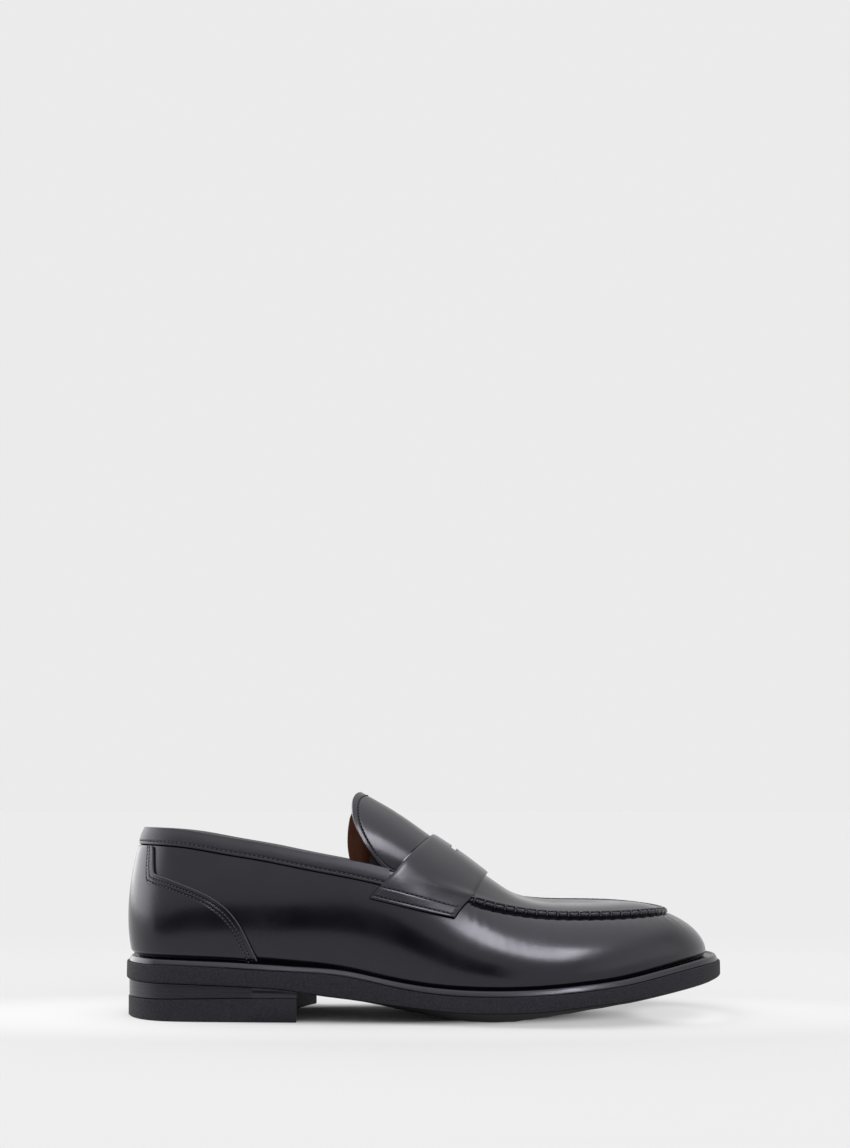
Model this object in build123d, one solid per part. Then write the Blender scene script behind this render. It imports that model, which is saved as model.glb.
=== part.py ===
from build123d import *
from functools import lru_cache
import math
import os

# Right penny loafer, outer side towards -Y, toe towards +X, floor at z = 0.
# All dimensions are in millimetres.

# Thicknesses
UPPER_LEATHER = 1.3
OVERLAY = 1.2
STRAP = 1.5
STIFFENER = 1.1
LINING = 1.0
GAP = 0.1
RAND_OVERHANG_INSET = 2.0
INSOLE_THICKNESS = 2.4
SOCK_THICKNESS = 1.5

# Layer positions, measured outwards from the grain face of the side wall
WALL_LAYER = (-UPPER_LEATHER, 0.0)
OVERLAY_LAYER = (2 * GAP, 2 * GAP + OVERLAY)
STRAP_LAYER = (GAP, GAP + STRAP)
STIFFENER_LAYER = (-UPPER_LEATHER - GAP - STIFFENER, -UPPER_LEATHER - GAP)
LINING_TOP = STIFFENER_LAYER[0] - GAP
LINING_LAYER = (LINING_TOP - LINING, LINING_TOP)

# Sole lines seen from the side: (x, z)
RAND_TOP = [(-153, 30.4), (-131, 30.4), (-110, 29.9), (-88, 28.9), (-63, 27.3), (-38, 25.2),
            (-20, 21.7), (-2, 18.8), (18, 17.4), (37, 17.4), (57, 18.4), (77, 20.4),
            (97, 22.9), (113, 25.8), (124, 27.6), (136, 29.3), (153, 30.0)]
SOLE_TOP = [(-153, 27.6), (-131, 27.6), (-110, 27.1), (-88, 25.8), (-63, 24.6), (-38, 22.4),
            (-20, 18.7), (-2, 15.7), (18, 14.3), (37, 14.5), (57, 15.5), (77, 17.3),
            (97, 19.9), (113, 22.7), (124, 24.6), (136, 26.2), (153, 26.9)]
SOLE_EDGE = [(-153, 19.0), (-131, 18.9), (-110, 18.4), (-88, 17.5), (-66, 15.7), (-53, 13.6),
             (-38, 11.8), (-22, 9.8), (-2, 7.8), (18, 6.5), (37, 6.7), (57, 7.8), (77, 10.2),
             (97, 12.4), (113, 14.5), (136, 17.5), (153, 19.6)]
TREAD = [(-70, 15.6), (-53, 13.2), (-38, 11.4), (-24, 9.3), (-12, 6.4), (0, 3.9), (12, 1.9),
         (22, 0.6), (31, 0.15), (42, 0.9), (53, 3.0), (64, 5.2), (80, 8.2), (93, 10.3),
         (113, 13.3), (136, 16.5), (153, 18.6)]
SOLE_BEVEL_HEIGHT = 6.2
SOLE_BEVEL_WIDTH = 13.0
LIFT_TOP = [(-153, 9.9), (-105, 11.3), (-55, 11.8)]

# Stations round the shoe, from the heel back along the outer side to the toe and
# back along the inner side. Each row holds:
#   feather line x, y | top edge x, y, z | lower bulge out, up | upper bulge out, down
# and the overhang of the sole beyond the feather line.
STATIONS = [
    (-148.5, 0.0, -143.2, 0.0, 94.6, 4.3, 20.0, 6.6, 22.0, 4.0),
    (-144.6, -14.5, -139.8, -9.3, 94.6, 4.5, 20.0, 6.9, 22.0, 4.0),
    (-134.0, -25.1, -131.1, -16.8, 94.4, 5.2, 20.0, 7.6, 22.0, 4.0),
    (-119.5, -29.0, -118.5, -22.3, 93.4, 6.5, 20.0, 8.8, 22.0, 4.0),
    (-100.0, -30.3, -100.0, -26.6, 90.4, 6.5, 20.0, 8.0, 22.0, 4.0),
    (-80.0, -31.3, -80.0, -29.6, 87.2, 6.5, 19.0, 6.5, 21.0, 3.9),
    (-60.0, -31.8, -60.0, -32.0, 83.3, 6.5, 18.0, 5.5, 20.0, 3.8),
    (-36.0, -33.0, -36.0, -34.2, 78.8, 6.0, 17.0, 5.0, 18.0, 4.0),
    (-10.0, -37.2, -10.0, -35.2, 72.4, 5.5, 16.0, 6.5, 16.0, 4.3),
    (15.0, -42.8, 15.0, -33.0, 62.9, 5.0, 14.0, 9.0, 11.5, 4.7),
    (40.0, -47.3, 40.0, -29.6, 55.3, 4.0, 13.0, 12.0, 7.0, 5.0),
    (60.0, -48.9, 60.0, -28.4, 52.4, 3.5, 12.5, 13.0, 5.5, 5.1),
    (80.0, -48.0, 80.0, -27.4, 51.8, 3.2, 11.5, 13.0, 5.0, 5.2),
    (100.0, -43.0, 98.0, -24.4, 52.0, 3.0, 11.0, 13.0, 4.5, 5.5),
    (117.0, -34.0, 110.0, -18.6, 52.3, 2.5, 10.0, 13.0, 4.0, 6.0),
    (131.0, -22.5, 117.5, -11.0, 52.2, 2.0, 9.0, 13.0, 3.6, 6.6),
    (140.5, -9.5, 121.5, -3.0, 51.8, 1.5, 8.3, 12.7, 3.5, 7.2),
    (145.0, 6.0, 123.0, 4.0, 51.5, 1.2, 8.0, 12.5, 3.5, 7.4),
    (141.5, 20.0, 122.0, 11.5, 51.8, 1.5, 8.3, 12.7, 3.5, 7.2),
    (132.0, 31.5, 118.0, 19.0, 52.3, 2.0, 9.0, 13.0, 3.6, 6.6),
    (118.0, 40.5, 110.5, 25.3, 53.0, 2.5, 10.0, 13.0, 4.0, 6.0),
    (100.0, 47.2, 98.0, 29.4, 53.8, 3.0, 11.0, 12.5, 4.5, 5.3),
    (80.0, 49.3, 80.0, 31.2, 54.1, 3.2, 11.5, 12.0, 5.0, 4.8),
    (60.0, 47.3, 60.0, 31.0, 54.6, 3.6, 12.5, 12.0, 5.5, 4.6),
    (40.0, 41.8, 40.0, 30.4, 57.5, 4.8, 13.0, 11.0, 7.5, 4.4),
    (15.0, 32.5, 15.0, 31.5, 63.4, 7.0, 14.0, 9.0, 12.0, 4.2),
    (-10.0, 26.0, -10.0, 32.0, 69.6, 8.0, 16.0, 6.0, 16.0, 4.0),
    (-36.0, 25.3, -36.0, 31.5, 76.2, 8.0, 17.0, 5.0, 18.0, 4.0),
    (-60.0, 28.0, -60.0, 30.0, 81.0, 7.2, 18.0, 5.5, 20.0, 4.0),
    (-80.0, 29.6, -80.0, 28.2, 85.2, 6.8, 19.0, 6.5, 21.0, 4.0),
    (-100.0, 29.8, -100.0, 25.8, 88.8, 6.5, 20.0, 8.0, 22.0, 4.0),
    (-119.5, 29.0, -118.5, 21.8, 92.3, 6.5, 20.0, 8.8, 22.0, 4.0),
    (-134.0, 25.1, -131.1, 16.6, 93.7, 5.2, 20.0, 7.6, 22.0, 4.0),
    (-144.6, 14.5, -139.8, 9.3, 94.3, 4.5, 20.0, 6.9, 22.0, 4.0),
]

# Ridge line of the instep and apron: (x, z)
CREST = [(-40, 117.6), (-32.4, 113.0), (-18.9, 105.4), (-5, 96.2), (4, 89.8), (13, 83.9),
         (21.8, 77.6), (31.5, 70.3), (38.5, 65.4), (45, 61.2), (52.7, 58.0), (62, 56.4),
         (78, 56.0), (95, 56.4), (108, 56.2), (117, 54.8), (124, 52.0)]
CREST_Y = 3.0

# Collar, foxing and strap outlines
COLLAR_HEIGHT = 8.0
COLLAR_FRONT_LOW = {-1: -22.6, 1: -26.4}
COLLAR_FRONT_TOP = {-1: -16.4, 1: -16.9}
COLLAR_STITCH_FRONT = {-1: -21.0, 1: -25.2}
FOXING_EDGE = [(-134.6, 72.3), (-127.7, 70.1), (-116.6, 66.3), (-108.2, 62.9), (-100.2, 58.2),
               (-94.1, 52.5), (-89.2, 45.2), (-85.5, 37.4), (-82.0, 29.6)]
FOXING_NOTCH = 0.0372
FOXING_RAMP = 0.004
STRAP_REAR = [(0.0, 4.0), (0.36, -1.5), (0.72, -14.5), (0.86, -20.5), (1.0, -26.3)]
STRAP_FRONT = [(0.0, 31.5), (0.36, 28.9), (0.72, 22.5), (0.86, 19.0), (1.0, 15.2)]
STRAP_EDGE = 0.72
STRAP_END_Z = [(-26.3, 61.1), (-5.0, 56.0), (15.2, 51.4)]
SLOT_X = 14.0
SLOT_HALF_WIDTH = 11.0
SLOT_OPENING = 3.2

# Tongue outline: rear limit over half the arch, 0 at the ridge and 1 at the wing tip
TONGUE_END = [(0.0, -32.4), (0.15, -34.2), (0.32, -36.2), (0.45, -36.6), (0.6, -35.6),
              (0.76, -31.6), (0.9, -26.0), (1.0, -20.5)]
TONGUE_WING_Y = 27.6
TONGUE_WING_REACH = 5.5
TONGUE_INNER_EXTRA = 9.5
TONGUE_RANGE = 18.0


# ---------------------------------------------------------------- smooth curves
def second_slopes(ts, vs):
    """Second derivatives of the natural cubic through the keys."""
    n = len(ts)
    upper = [0.0] * n
    slope = [0.0] * n
    for i in range(1, n - 1):
        left = ts[i] - ts[i - 1]
        right = ts[i + 1] - ts[i]
        change = (vs[i + 1] - vs[i]) / right - (vs[i] - vs[i - 1]) / left
        pivot = 2.0 * (left + right) - left * upper[i - 1]
        upper[i] = right / pivot
        slope[i] = (6.0 * change - left * slope[i - 1]) / pivot
    for i in range(n - 2, 0, -1):
        slope[i] -= upper[i] * slope[i + 1]
    return slope


def spline(keys):
    """Function of t that runs smoothly through (t, value) keys."""
    ts = [k[0] for k in keys]
    vs = [k[1] for k in keys]
    bends = second_slopes(ts, vs)

    def value(t):
        t = min(max(t, ts[0]), ts[-1])
        i = 0
        while i < len(ts) - 2 and t > ts[i + 1]:
            i += 1
        h = ts[i + 1] - ts[i]
        a = (ts[i + 1] - t) / h
        b = 1.0 - a
        curve = (a ** 3 - a) * bends[i] + (b ** 3 - b) * bends[i + 1]
        return a * vs[i] + b * vs[i + 1] + curve * h * h / 6.0

    return value


def closed_splines(rows):
    """One looped spline per column; the parameter runs 0 to 1 round the shoe."""
    along = [0.0]
    for i in range(len(rows)):
        here = rows[i]
        ahead = rows[(i + 1) % len(rows)]
        step = math.hypot(ahead[0] - here[0], ahead[1] - here[1])
        upper = math.hypot(ahead[2] - here[2], ahead[3] - here[3])
        along.append(along[-1] + 0.5 * (step + upper))
    total = along[-1]
    columns = []
    for c in range(len(rows[0])):
        keys = []
        for i in range(-5, len(rows) + 6):
            turn, k = divmod(i, len(rows))
            keys.append((along[k] / total + turn, rows[k][c]))
        columns.append(spline(keys))
    return columns, [a / total for a in along]


COLUMNS, STATION_U = closed_splines(STATIONS)
TOE_U = STATION_U[17]
rand_top = spline(RAND_TOP)
sole_top = spline(SOLE_TOP)
sole_edge = spline(SOLE_EDGE)
tread_line = spline(TREAD)
lift_top = spline(LIFT_TOP)
crest_z = spline(CREST)


# ---------------------------------------------------------------- vectors
def add(p, q, k=1.0):
    return (p[0] + k * q[0], p[1] + k * q[1], p[2] + k * q[2])


def sub(p, q):
    return (p[0] - q[0], p[1] - q[1], p[2] - q[2])


def cross(p, q):
    return (p[1] * q[2] - p[2] * q[1], p[2] * q[0] - p[0] * q[2], p[0] * q[1] - p[1] * q[0])


def unit(p):
    size = math.sqrt(p[0] ** 2 + p[1] ** 2 + p[2] ** 2)
    return (p[0] / size, p[1] / size, p[2] / size)


def bezier(p0, p1, p2, p3, t):
    s = 1.0 - t
    weights = (s ** 3, 3 * s * s * t, 3 * s * t * t, t ** 3)
    points = (p0, p1, p2, p3)
    return tuple(sum(w * p[i] for w, p in zip(weights, points)) for i in range(3))


def curve(p0, p1, p2, t):
    """Parabola from p0 to p2, drawn towards p1."""
    s = 1.0 - t
    return tuple(s * s * a + 2 * s * t * b + t * t * c for a, b, c in zip(p0, p1, p2))


# ---------------------------------------------------------------- side wall surface
def feather(u):
    """Plan point of the feather line and its outward direction."""
    x = COLUMNS[0](u)
    y = COLUMNS[1](u)
    dx = COLUMNS[0](u + 0.002) - COLUMNS[0](u - 0.002)
    dy = COLUMNS[1](u + 0.002) - COLUMNS[1](u - 0.002)
    size = math.hypot(dx, dy)
    return x, y, dy / size, -dx / size


def wall(u, v):
    """Point on the grain face: u runs round the shoe, v from sole to top edge."""
    x, y, nx, ny = feather(u)
    low = (x, y, rand_top(x) + 0.2)
    top = (COLUMNS[2](u), COLUMNS[3](u), COLUMNS[4](u))
    out1, up1, out2, down2 = (COLUMNS[c](u) for c in (5, 6, 7, 8))
    c1 = (low[0] + nx * out1, low[1] + ny * out1, low[2] + up1)
    c2 = (top[0] + nx * out2, top[1] + ny * out2, top[2] - down2)
    return bezier(low, c1, c2, top, v)


def normal(surface, a, b):
    """Outward direction of a surface given as a function of two parameters."""
    step = 0.002
    along = sub(surface(a + step, b), surface(a - step, b))
    up = sub(surface(a, b + step), surface(a, b - step))
    n = unit(cross(along, up))
    here = surface(a, b)
    away = (here[0] - max(-110.0, min(90.0, here[0])), here[1] - 2.0, here[2] - 32.0)
    facing = n[0] * away[0] + n[1] * away[1] + n[2] * away[2]
    return n if facing > 0 else (-n[0], -n[1], -n[2])


def wall_at(u, v, out=0.0):
    return add(wall(u, v), normal(wall, u, v), out)


def bisect(function, low, high):
    """Parameter at which a rising function crosses zero."""
    for _ in range(40):
        middle = 0.5 * (low + high)
        if function(middle) < 0.0:
            low = middle
        else:
            high = middle
    return 0.5 * (low + high)


@lru_cache(maxsize=None)
def u_at(x, side, v=1.0):
    """Place round the shoe where the wall has the given x; side -1 is outer."""
    if side < 0:
        return bisect(lambda u: wall(u, v)[0] - x, 0.0, TOE_U)
    return bisect(lambda u: x - wall(u, v)[0], TOE_U, 1.0)


def v_at(u, z):
    return bisect(lambda v: wall(u, v)[2] - z, 0.0, 1.0)


def locate(x, z, side):
    """Wall parameters of the point with the given x and z."""
    u = u_at(x, side)
    for _ in range(6):
        v = v_at(u, z)
        u = u_at(x, side, v)
    return u, v_at(u, z)


# ---------------------------------------------------------------- instep surface
def arch(x, b):
    """Surface over the instep and apron; b is -1 at the outer seam, 1 at the inner."""
    side = -1 if b < 0 else 1
    u = u_at(min(x, 122.6), side)
    edge = wall(u, 1.0)
    inward = unit(sub(edge, wall(u, 0.97)))
    crest = (x, CREST_Y + 0.006 * max(0.0, x), crest_z(x))
    span = abs(crest[1] - edge[1])
    rise = max(crest[2] - edge[2], 0.5)
    reach = 0.36 * math.hypot(span, rise)
    p1 = (crest[0], crest[1] + side * 0.45 * span, crest[2])
    p2 = (x, edge[1] + inward[1] * reach, edge[2] + inward[2] * reach)
    p3 = (x, edge[1], edge[2])
    return bezier(crest, p1, p2, p3, abs(b))


def arch_at(x, b, out=0.0):
    near = 0.02
    bb = max(-1.0 + near, min(1.0 - near, b))
    along = sub(arch(x + 0.3, bb), arch(x - 0.3, bb))
    across = sub(arch(x, bb + near), arch(x, bb - near))
    n = unit(cross(along, across))
    if n[2] < 0:
        n = (-n[0], -n[1], -n[2])
    return add(arch(x, b), n, out)


# ---------------------------------------------------------------- solids from grids
def grid(point, rows, cols):
    """Points of a patch over the unit square."""
    return [[point(i / rows, j / cols) for j in range(cols + 1)] for i in range(rows + 1)]


def face_from(points):
    return Face.make_surface_from_array_of_points(points, tol=0.01, min_deg=3, max_deg=5)


def matching_edge(face, start, end):
    """Boundary edge of a face that runs between two corners, either way round."""
    p = Vector(*start)
    q = Vector(*end)

    def miss(edge):
        e0 = edge.position_at(0)
        e1 = edge.position_at(1)
        return min((e0 - p).length + (e1 - q).length, (e0 - q).length + (e1 - p).length)
    return min(face.edges(), key=miss)


def sheet(point, rows, cols, low, high):
    """Closed sheet between two offsets of a patch; point(a, b, out) gives places."""
    outer_points = grid(lambda a, b: point(a, b, high), rows, cols)
    inner_points = grid(lambda a, b: point(a, b, low), rows, cols)
    outer = face_from(outer_points)
    inner = face_from(inner_points)
    corners = ((0, 0), (0, cols), (rows, cols), (rows, 0), (0, 0))
    sides = []
    for (i, j), (k, m) in zip(corners, corners[1:]):
        first = matching_edge(outer, outer_points[i][j], outer_points[k][m])
        second = matching_edge(inner, inner_points[i][j], inner_points[k][m])
        sides.append(ruled(first, second))
    return closed_solid([outer, inner] + sides)


def ruled(first, second):
    """Straight-lined face between two edges that run the same way."""
    start = (first.position_at(0) - second.position_at(0)).length
    swapped = (first.position_at(0) - second.position_at(1)).length
    if swapped < start:
        second = second.reversed()
    return Face.make_surface_from_curves(first, second)


def closed_solid(faces):
    solid = Solid(Shell(faces))
    if solid.volume < 0:
        solid = Solid(Shell([-f for f in faces]))
    return solid


# ---------------------------------------------------------------- plates
def outline(inset, count=120, overhang=1.0):
    """Plan points inside the sole edge, or inside the feather line if overhang is 0."""
    points = []
    for i in range(count):
        u = i / count
        x, y, nx, ny = feather(u)
        reach = overhang * COLUMNS[9](u) - inset
        points.append((x + nx * reach, y + ny * reach))
    return points


def prism(points, low, high):
    wire = Wire([Edge.make_spline([Vector(x, y, low) for x, y in points], periodic=True)])
    return Solid.extrude(Face(wire), Vector(0, 0, high - low))


def slab(low, high, x0, x1):
    """Curved layer between two side-view lines, wider than the shoe."""
    xs = [x0 + (x1 - x0) * i / 24 for i in range(25)]
    bottom = Edge.make_spline([Vector(x, -75, low(x)) for x in xs])
    top = Edge.make_spline([Vector(x, -75, high(x)) for x in xs])
    front = Edge.make_line(bottom.position_at(1), top.position_at(1))
    back = Edge.make_line(bottom.position_at(0), top.position_at(0))
    return Solid.extrude(Face(Wire([bottom, front, top, back])), Vector(0, 150, 0))


def plate(inset, low, high, overhang=1.0):
    body = slab(low, high, -160.0, 160.0) & prism(outline(inset, 120, overhang), -20, 80)
    return body.solids()[0]


def heel_prism(inset, low=-5.0, high=60.0):
    """Heel outline closed by the hollow breast line."""
    body = prism(outline(inset), low, high)
    keep = Pos(-155, 0, 0) * Box(200, 200, 200)
    breast = Pos(3.5, -6.2, 0) * Cylinder(72, 300)
    return (body & keep) - breast


# ---------------------------------------------------------------- stitches
def stitch(place, along, out, length, width, height):
    frame = Plane(origin=Vector(*place), x_dir=Vector(*along), z_dir=Vector(*out))
    return (frame * Box(length, width, height)).solids()[0]


def stitch_row(path, count, layer, length=2.2, width=0.5, height=0.3):
    """Separate stitches along path(t), which gives wall parameters."""
    row = []
    for i in range(count):
        t = (i + 0.5) / count
        u, v = path(t)
        here = wall_at(u, v, layer + GAP + 0.5 * height)
        u2, v2 = path(t + 0.25 / count)
        ahead = sub(wall_at(u2, v2, layer), wall_at(u, v, layer))
        row.append(stitch(here, unit(ahead), normal(wall, u, v), length, width, height))
    return row


# ---------------------------------------------------------------- upper
def collar_low(u):
    return v_at(u, COLUMNS[4](u) - COLLAR_HEIGHT)


def wrap(a, front):
    """Run from the outer front limit (a = 0) round the heel to the inner one."""
    start, end = front
    value = start + (end - 1.0 - start) * a
    return value % 1.0


def side_wall():
    def point(a, b, out):
        return wall_at(0.0015 + 0.997 * a, 0.985 * b, out)
    return sheet(point, 110, 10, *WALL_LAYER)


def collar_front(side, b):
    """Place where the collar strip stops, b running from its lower to its top edge."""
    x = COLLAR_FRONT_LOW[side] * (1.0 - b) + COLLAR_FRONT_TOP[side] * b
    return u_at(x, side)


def collar_binding():
    """Strip whose ends follow the slanting rear edge of the strap."""
    def point(a, b, out):
        u = wrap(a, (collar_front(-1, b), collar_front(1, b)))
        low = collar_low(u)
        return wall_at(u, low + (0.99 - low) * b, out)
    return sheet(point, 70, 5, *OVERLAY_LAYER)


def foxing_top(u, side, inset=0.0):
    """Upper border of the foxing as a wall parameter v, set in by a distance."""
    turn = u if side < 0 else 1.0 - u
    slope = FOXING_V[side]
    low = slope(turn + inset / 640.0) - inset / 62.0
    high = collar_low(u % 1.0) - 0.012
    share = (turn - FOXING_NOTCH + FOXING_RAMP + inset / 640.0) / (2.0 * FOXING_RAMP)
    share = max(0.0, min(1.0, share))
    share = share * share * (3.0 - 2.0 * share)
    return high + (low - high) * share


def foxing_slope(side):
    keys = [(0.0, 0.70), (0.033, 0.685)]
    for x, z in FOXING_EDGE:
        u, v = locate(x, z, side)
        keys.append((u if side < 0 else 1.0 - u, v))
    return spline(keys)


def heel_foxing_half(side):
    heel = 0.0003 if side < 0 else 0.9997
    front = locate(*FOXING_EDGE[-1], side)[0]

    def point(a, b, out):
        u = heel + (front - heel) * a
        return wall_at(u, 0.006 + (foxing_top(u, side) - 0.006) * b, out)
    return sheet(point, 100, 10, *OVERLAY_LAYER)


def strap_point(a, c, out):
    """Point of the strap: a from rear to front edge, c across from end to end."""
    girth = abs(c)
    side = -1 if c < 0 else 1
    x = strap_rear(girth) + (strap_front(girth) - strap_rear(girth)) * a
    if girth <= STRAP_EDGE:
        return arch_at(x, side * girth / STRAP_EDGE, out)
    u = u_at(x, side)
    v_end = v_at(u, strap_end_z(x) + (0.0 if side < 0 else 3.0))
    share = (girth - STRAP_EDGE) / (1.0 - STRAP_EDGE)
    return wall_at(u, 1.0 - (1.0 - v_end) * share, out)


FOXING_V = {-1: foxing_slope(-1), 1: foxing_slope(1)}
strap_rear = spline(STRAP_REAR)
strap_front = spline(STRAP_FRONT)
strap_end_z = spline(STRAP_END_Z)


def saddle_strap():
    low, high = STRAP_LAYER

    def point(a, b, out):
        return strap_point(a, 2.0 * b - 1.0, out)
    body = sheet(point, 10, 60, low + 0.5, high + 0.5)
    return (body - slot_cutter(SLOT_HALF_WIDTH, SLOT_OPENING, 8.0)).solids()[0]


def slot_plane(out):
    here = arch_at(SLOT_X, 0.0, out)
    ahead = sub(arch_at(SLOT_X + 2.0, 0.0, out), here)
    return Plane(origin=Vector(*here), x_dir=Vector(*ahead), z_dir=Vector(*normal_up(ahead)))


def normal_up(ahead):
    return unit((-ahead[2], 0.0, ahead[0]))


def slot_cutter(half_width, opening, height):
    ends = Pos(0, half_width - 2.5, 0) * Cylinder(2.5, height)
    ends += Pos(0, 2.5 - half_width, 0) * Cylinder(2.5, height)
    cutter = Box(opening, 2.0 * half_width - 5.0, height) + ends
    return slot_plane(0.5) * cutter


def strap_backing():
    def point(a, b, out):
        x = SLOT_X - 6.5 + 13.0 * a
        return arch_at(x, -0.42 + 0.84 * b, out)
    return sheet(point, 6, 12, 0.32, 0.52)


def plug_x(a, x0, x1):
    return x0 + (x1 - x0) * (1.0 - (1.0 - a) ** 2)


def apron(layer=(-UPPER_LEATHER, 0.0), edge=0.965, tip=121.8):
    def point(a, b, out):
        share = edge * (2.0 * b - 1.0)
        back = strap_rear(STRAP_EDGE * abs(share)) + 3.0
        return arch_at(plug_x(a, back, tip), share, out)
    return sheet(point, 40, 16, *layer)


# ---------------------------------------------------------------- tongue and gores
def tongue_arch(x, b):
    """Arch of the tongue, inside the quarters at its wings."""
    side = -1 if b < 0 else 1
    crest = (x, CREST_Y, crest_z(x))
    base_z = 73.5 - 0.28 * (x + 15.0)
    wing = (x, CREST_Y + side * (TONGUE_WING_Y + 0.3), base_z)
    span = TONGUE_WING_Y
    rise = crest[2] - wing[2]
    p1 = (x, crest[1] + side * 0.52 * span, crest[2])
    p2 = (x, wing[1] - side * 0.5, wing[2] + 0.5 * rise)
    return bezier(crest, p1, p2, wing, abs(b))


def tongue_at(x, b, out):
    near = 0.02
    bb = max(-1.0 + near, min(1.0 - near, b))
    along = sub(tongue_arch(x + 0.3, bb), tongue_arch(x - 0.3, bb))
    across = sub(tongue_arch(x, bb + near), tongue_arch(x, bb - near))
    n = unit(cross(along, across))
    if n[2] < 0:
        n = (-n[0], -n[1], -n[2])
    return add(tongue_arch(x, b), n, out)


tongue_end = spline(TONGUE_END)


def tongue_point(a, b, out, trim=0.0):
    share = (2.0 * b - 1.0) * (1.0 - 0.5 * trim / TONGUE_WING_Y)
    front = strap_rear(STRAP_EDGE * abs(share)) - tongue_gap(abs(share))
    rear = tongue_end(abs(share)) + trim - inner_extra(share)
    return tongue_at(front + (rear - front) * a, share, out)


def tongue_gap(girth):
    """Room between tongue and strap; the wing tips tuck under the strap."""
    return 0.8 + 2.2 * girth ** 3 - TONGUE_WING_REACH * girth ** 14


def inner_extra(share):
    """The inner wing of the tongue reaches further back than the outer wing."""
    t = max(0.0, min(1.0, (share - 0.35) / 0.4))
    return TONGUE_INNER_EXTRA * t * t * (3.0 - 2.0 * t)


def tongue_upper():
    return sheet(lambda a, b, out: tongue_point(a, b, out), 16, 40, -1.3, 0.0)


def tongue_lining():
    return sheet(lambda a, b, out: tongue_point(a, b, out, 0.6), 16, 40, -2.4, -1.4)


def gore(side):
    """Elastic sheet from the inside of the quarter to under the tongue wing."""
    def point(a, b, out):
        x = -11.0 - 15.0 * a
        u = u_at(x, side)
        low = wall_at(u, v_at(u, 67.0 - 0.2 * (x + 15.0)), LINING_LAYER[0] - 0.4)
        high = tongue_at(x - 1.5, side * 0.9, -4.4)
        bend = (0.5 * (low[0] + high[0]), high[1] + side * 2.0, low[2] + 0.6)
        place = curve(low, bend, high, b)
        return (place[0], place[1] - side * out, place[2])
    return sheet(point, 8, 6, 0.0, 0.8)


# ---------------------------------------------------------------- inside
def quarter_lining():
    front = (u_at(-9.0, -1), u_at(-9.0, 1))
    return sheet(lambda a, b, out: wall_at(wrap(a, front), 0.02 + 0.965 * b, out),
                 80, 10, *LINING_LAYER)


def vamp_lining():
    start, end = u_at(-8.0, -1), u_at(-8.0, 1)
    return sheet(lambda a, b, out: wall_at(start + (end - start) * a, 0.02 + 0.93 * b, out),
                 80, 8, *LINING_LAYER)


def apron_lining():
    return apron(LINING_LAYER, 0.86, 117.5)


def heel_stiffener():
    front = (u_at(-88.0, -1), u_at(-88.0, 1))
    return sheet(lambda a, b, out: wall_at(wrap(a, front), 0.03 + 0.62 * b, out),
                 60, 8, *STIFFENER_LAYER)


def toe_puff():
    start, end = u_at(101.0, -1), u_at(101.0, 1)
    return sheet(lambda a, b, out: wall_at(start + (end - start) * a, 0.03 + 0.8 * b, out),
                 50, 8, *STIFFENER_LAYER)


def insole_board():
    return layer_plate(4.9, 0.3, 0.3 + INSOLE_THICKNESS)


def sock_liner():
    return layer_plate(5.2, 0.4 + INSOLE_THICKNESS, 0.4 + INSOLE_THICKNESS + SOCK_THICKNESS)


def layer_plate(inset, low, high):
    return plate(inset, lambda x: rand_top(x) + low, lambda x: rand_top(x) + high, 0.0)


# ---------------------------------------------------------------- bottom
def rand():
    ring = plate(RAND_OVERHANG_INSET, lambda x: sole_top(x) + 0.12, lambda x: rand_top(x))
    return (ring - prism(outline(14.0), -20, 80)).solids()[0]


def bottom_filler():
    body = plate(14.4, lambda x: sole_top(x) + 0.12, lambda x: rand_top(x) - 0.05)
    return (body - shank_plate(0.3)).solids()[0]


def shank_plate(room=0.0):
    layer = slab(lambda x: sole_top(x) + 0.7 - room, lambda x: sole_top(x) + 1.9 + room,
                 -104.0 - room, -6.0 + room)
    return (layer & (Pos(-55, 0, 30) * Box(130, 13 + 2 * room, 80))).solids()[0]


def sole_unit():
    """Sole with a bevelled tread in front of the heel and a plain heel seat."""
    tread = plate(0.0, lambda x: sole_edge(x) - SOLE_BEVEL_HEIGHT, sole_top)
    bottom = min(tread.faces(), key=lambda f: f.center().Z)
    tread = tread.chamfer(SOLE_BEVEL_HEIGHT, SOLE_BEVEL_WIDTH, bottom.edges(), bottom)
    tread = tread & slab(tread_line, lambda x: sole_top(x) + 4.0, -75.0, 160.0)
    tread = tread - heel_prism(-1.0)
    body = tread + plate(0.0, sole_edge, sole_top)
    return (body - nail_set(NAIL_RADIUS + 0.1)).solids()[0]


def heel_stack():
    layer = slab(lambda x: lift_top(x) + 0.05, lambda x: sole_edge(x) - 0.2, -158, -50)
    body = layer & heel_prism(1.2)
    return (body - nail_set(NAIL_RADIUS + 0.1)).solids()[0]


def top_lift():
    layer = slab(lambda x: -6.0, lift_top, -158, -50)
    body = layer & heel_prism(0.8, 0.0)
    return (body - nail_set(NAIL_RADIUS + 0.1)).solids()[0]


NAIL_RADIUS = 1.1
NAIL_PLACES = [(-132, 0), (-118, -16), (-118, 16), (-88, -17), (-88, 17)]


def nail_set(radius):
    grow = radius - NAIL_RADIUS
    nails = [Pos(x, y, 13.5) * Cylinder(radius, 18.0 + 2 * grow) for x, y in NAIL_PLACES]
    return Compound([n.solids()[0] for n in nails])


# ---------------------------------------------------------------- threads
def collar_stitching():
    front = (u_at(COLLAR_STITCH_FRONT[-1], -1), u_at(COLLAR_STITCH_FRONT[1], 1))

    def path(t):
        u = wrap(t, front)
        return u, v_at(u, COLUMNS[4](u) - COLLAR_HEIGHT + 1.3)
    return stitch_row(path, 76, OVERLAY_LAYER[1], 2.6)


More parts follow.
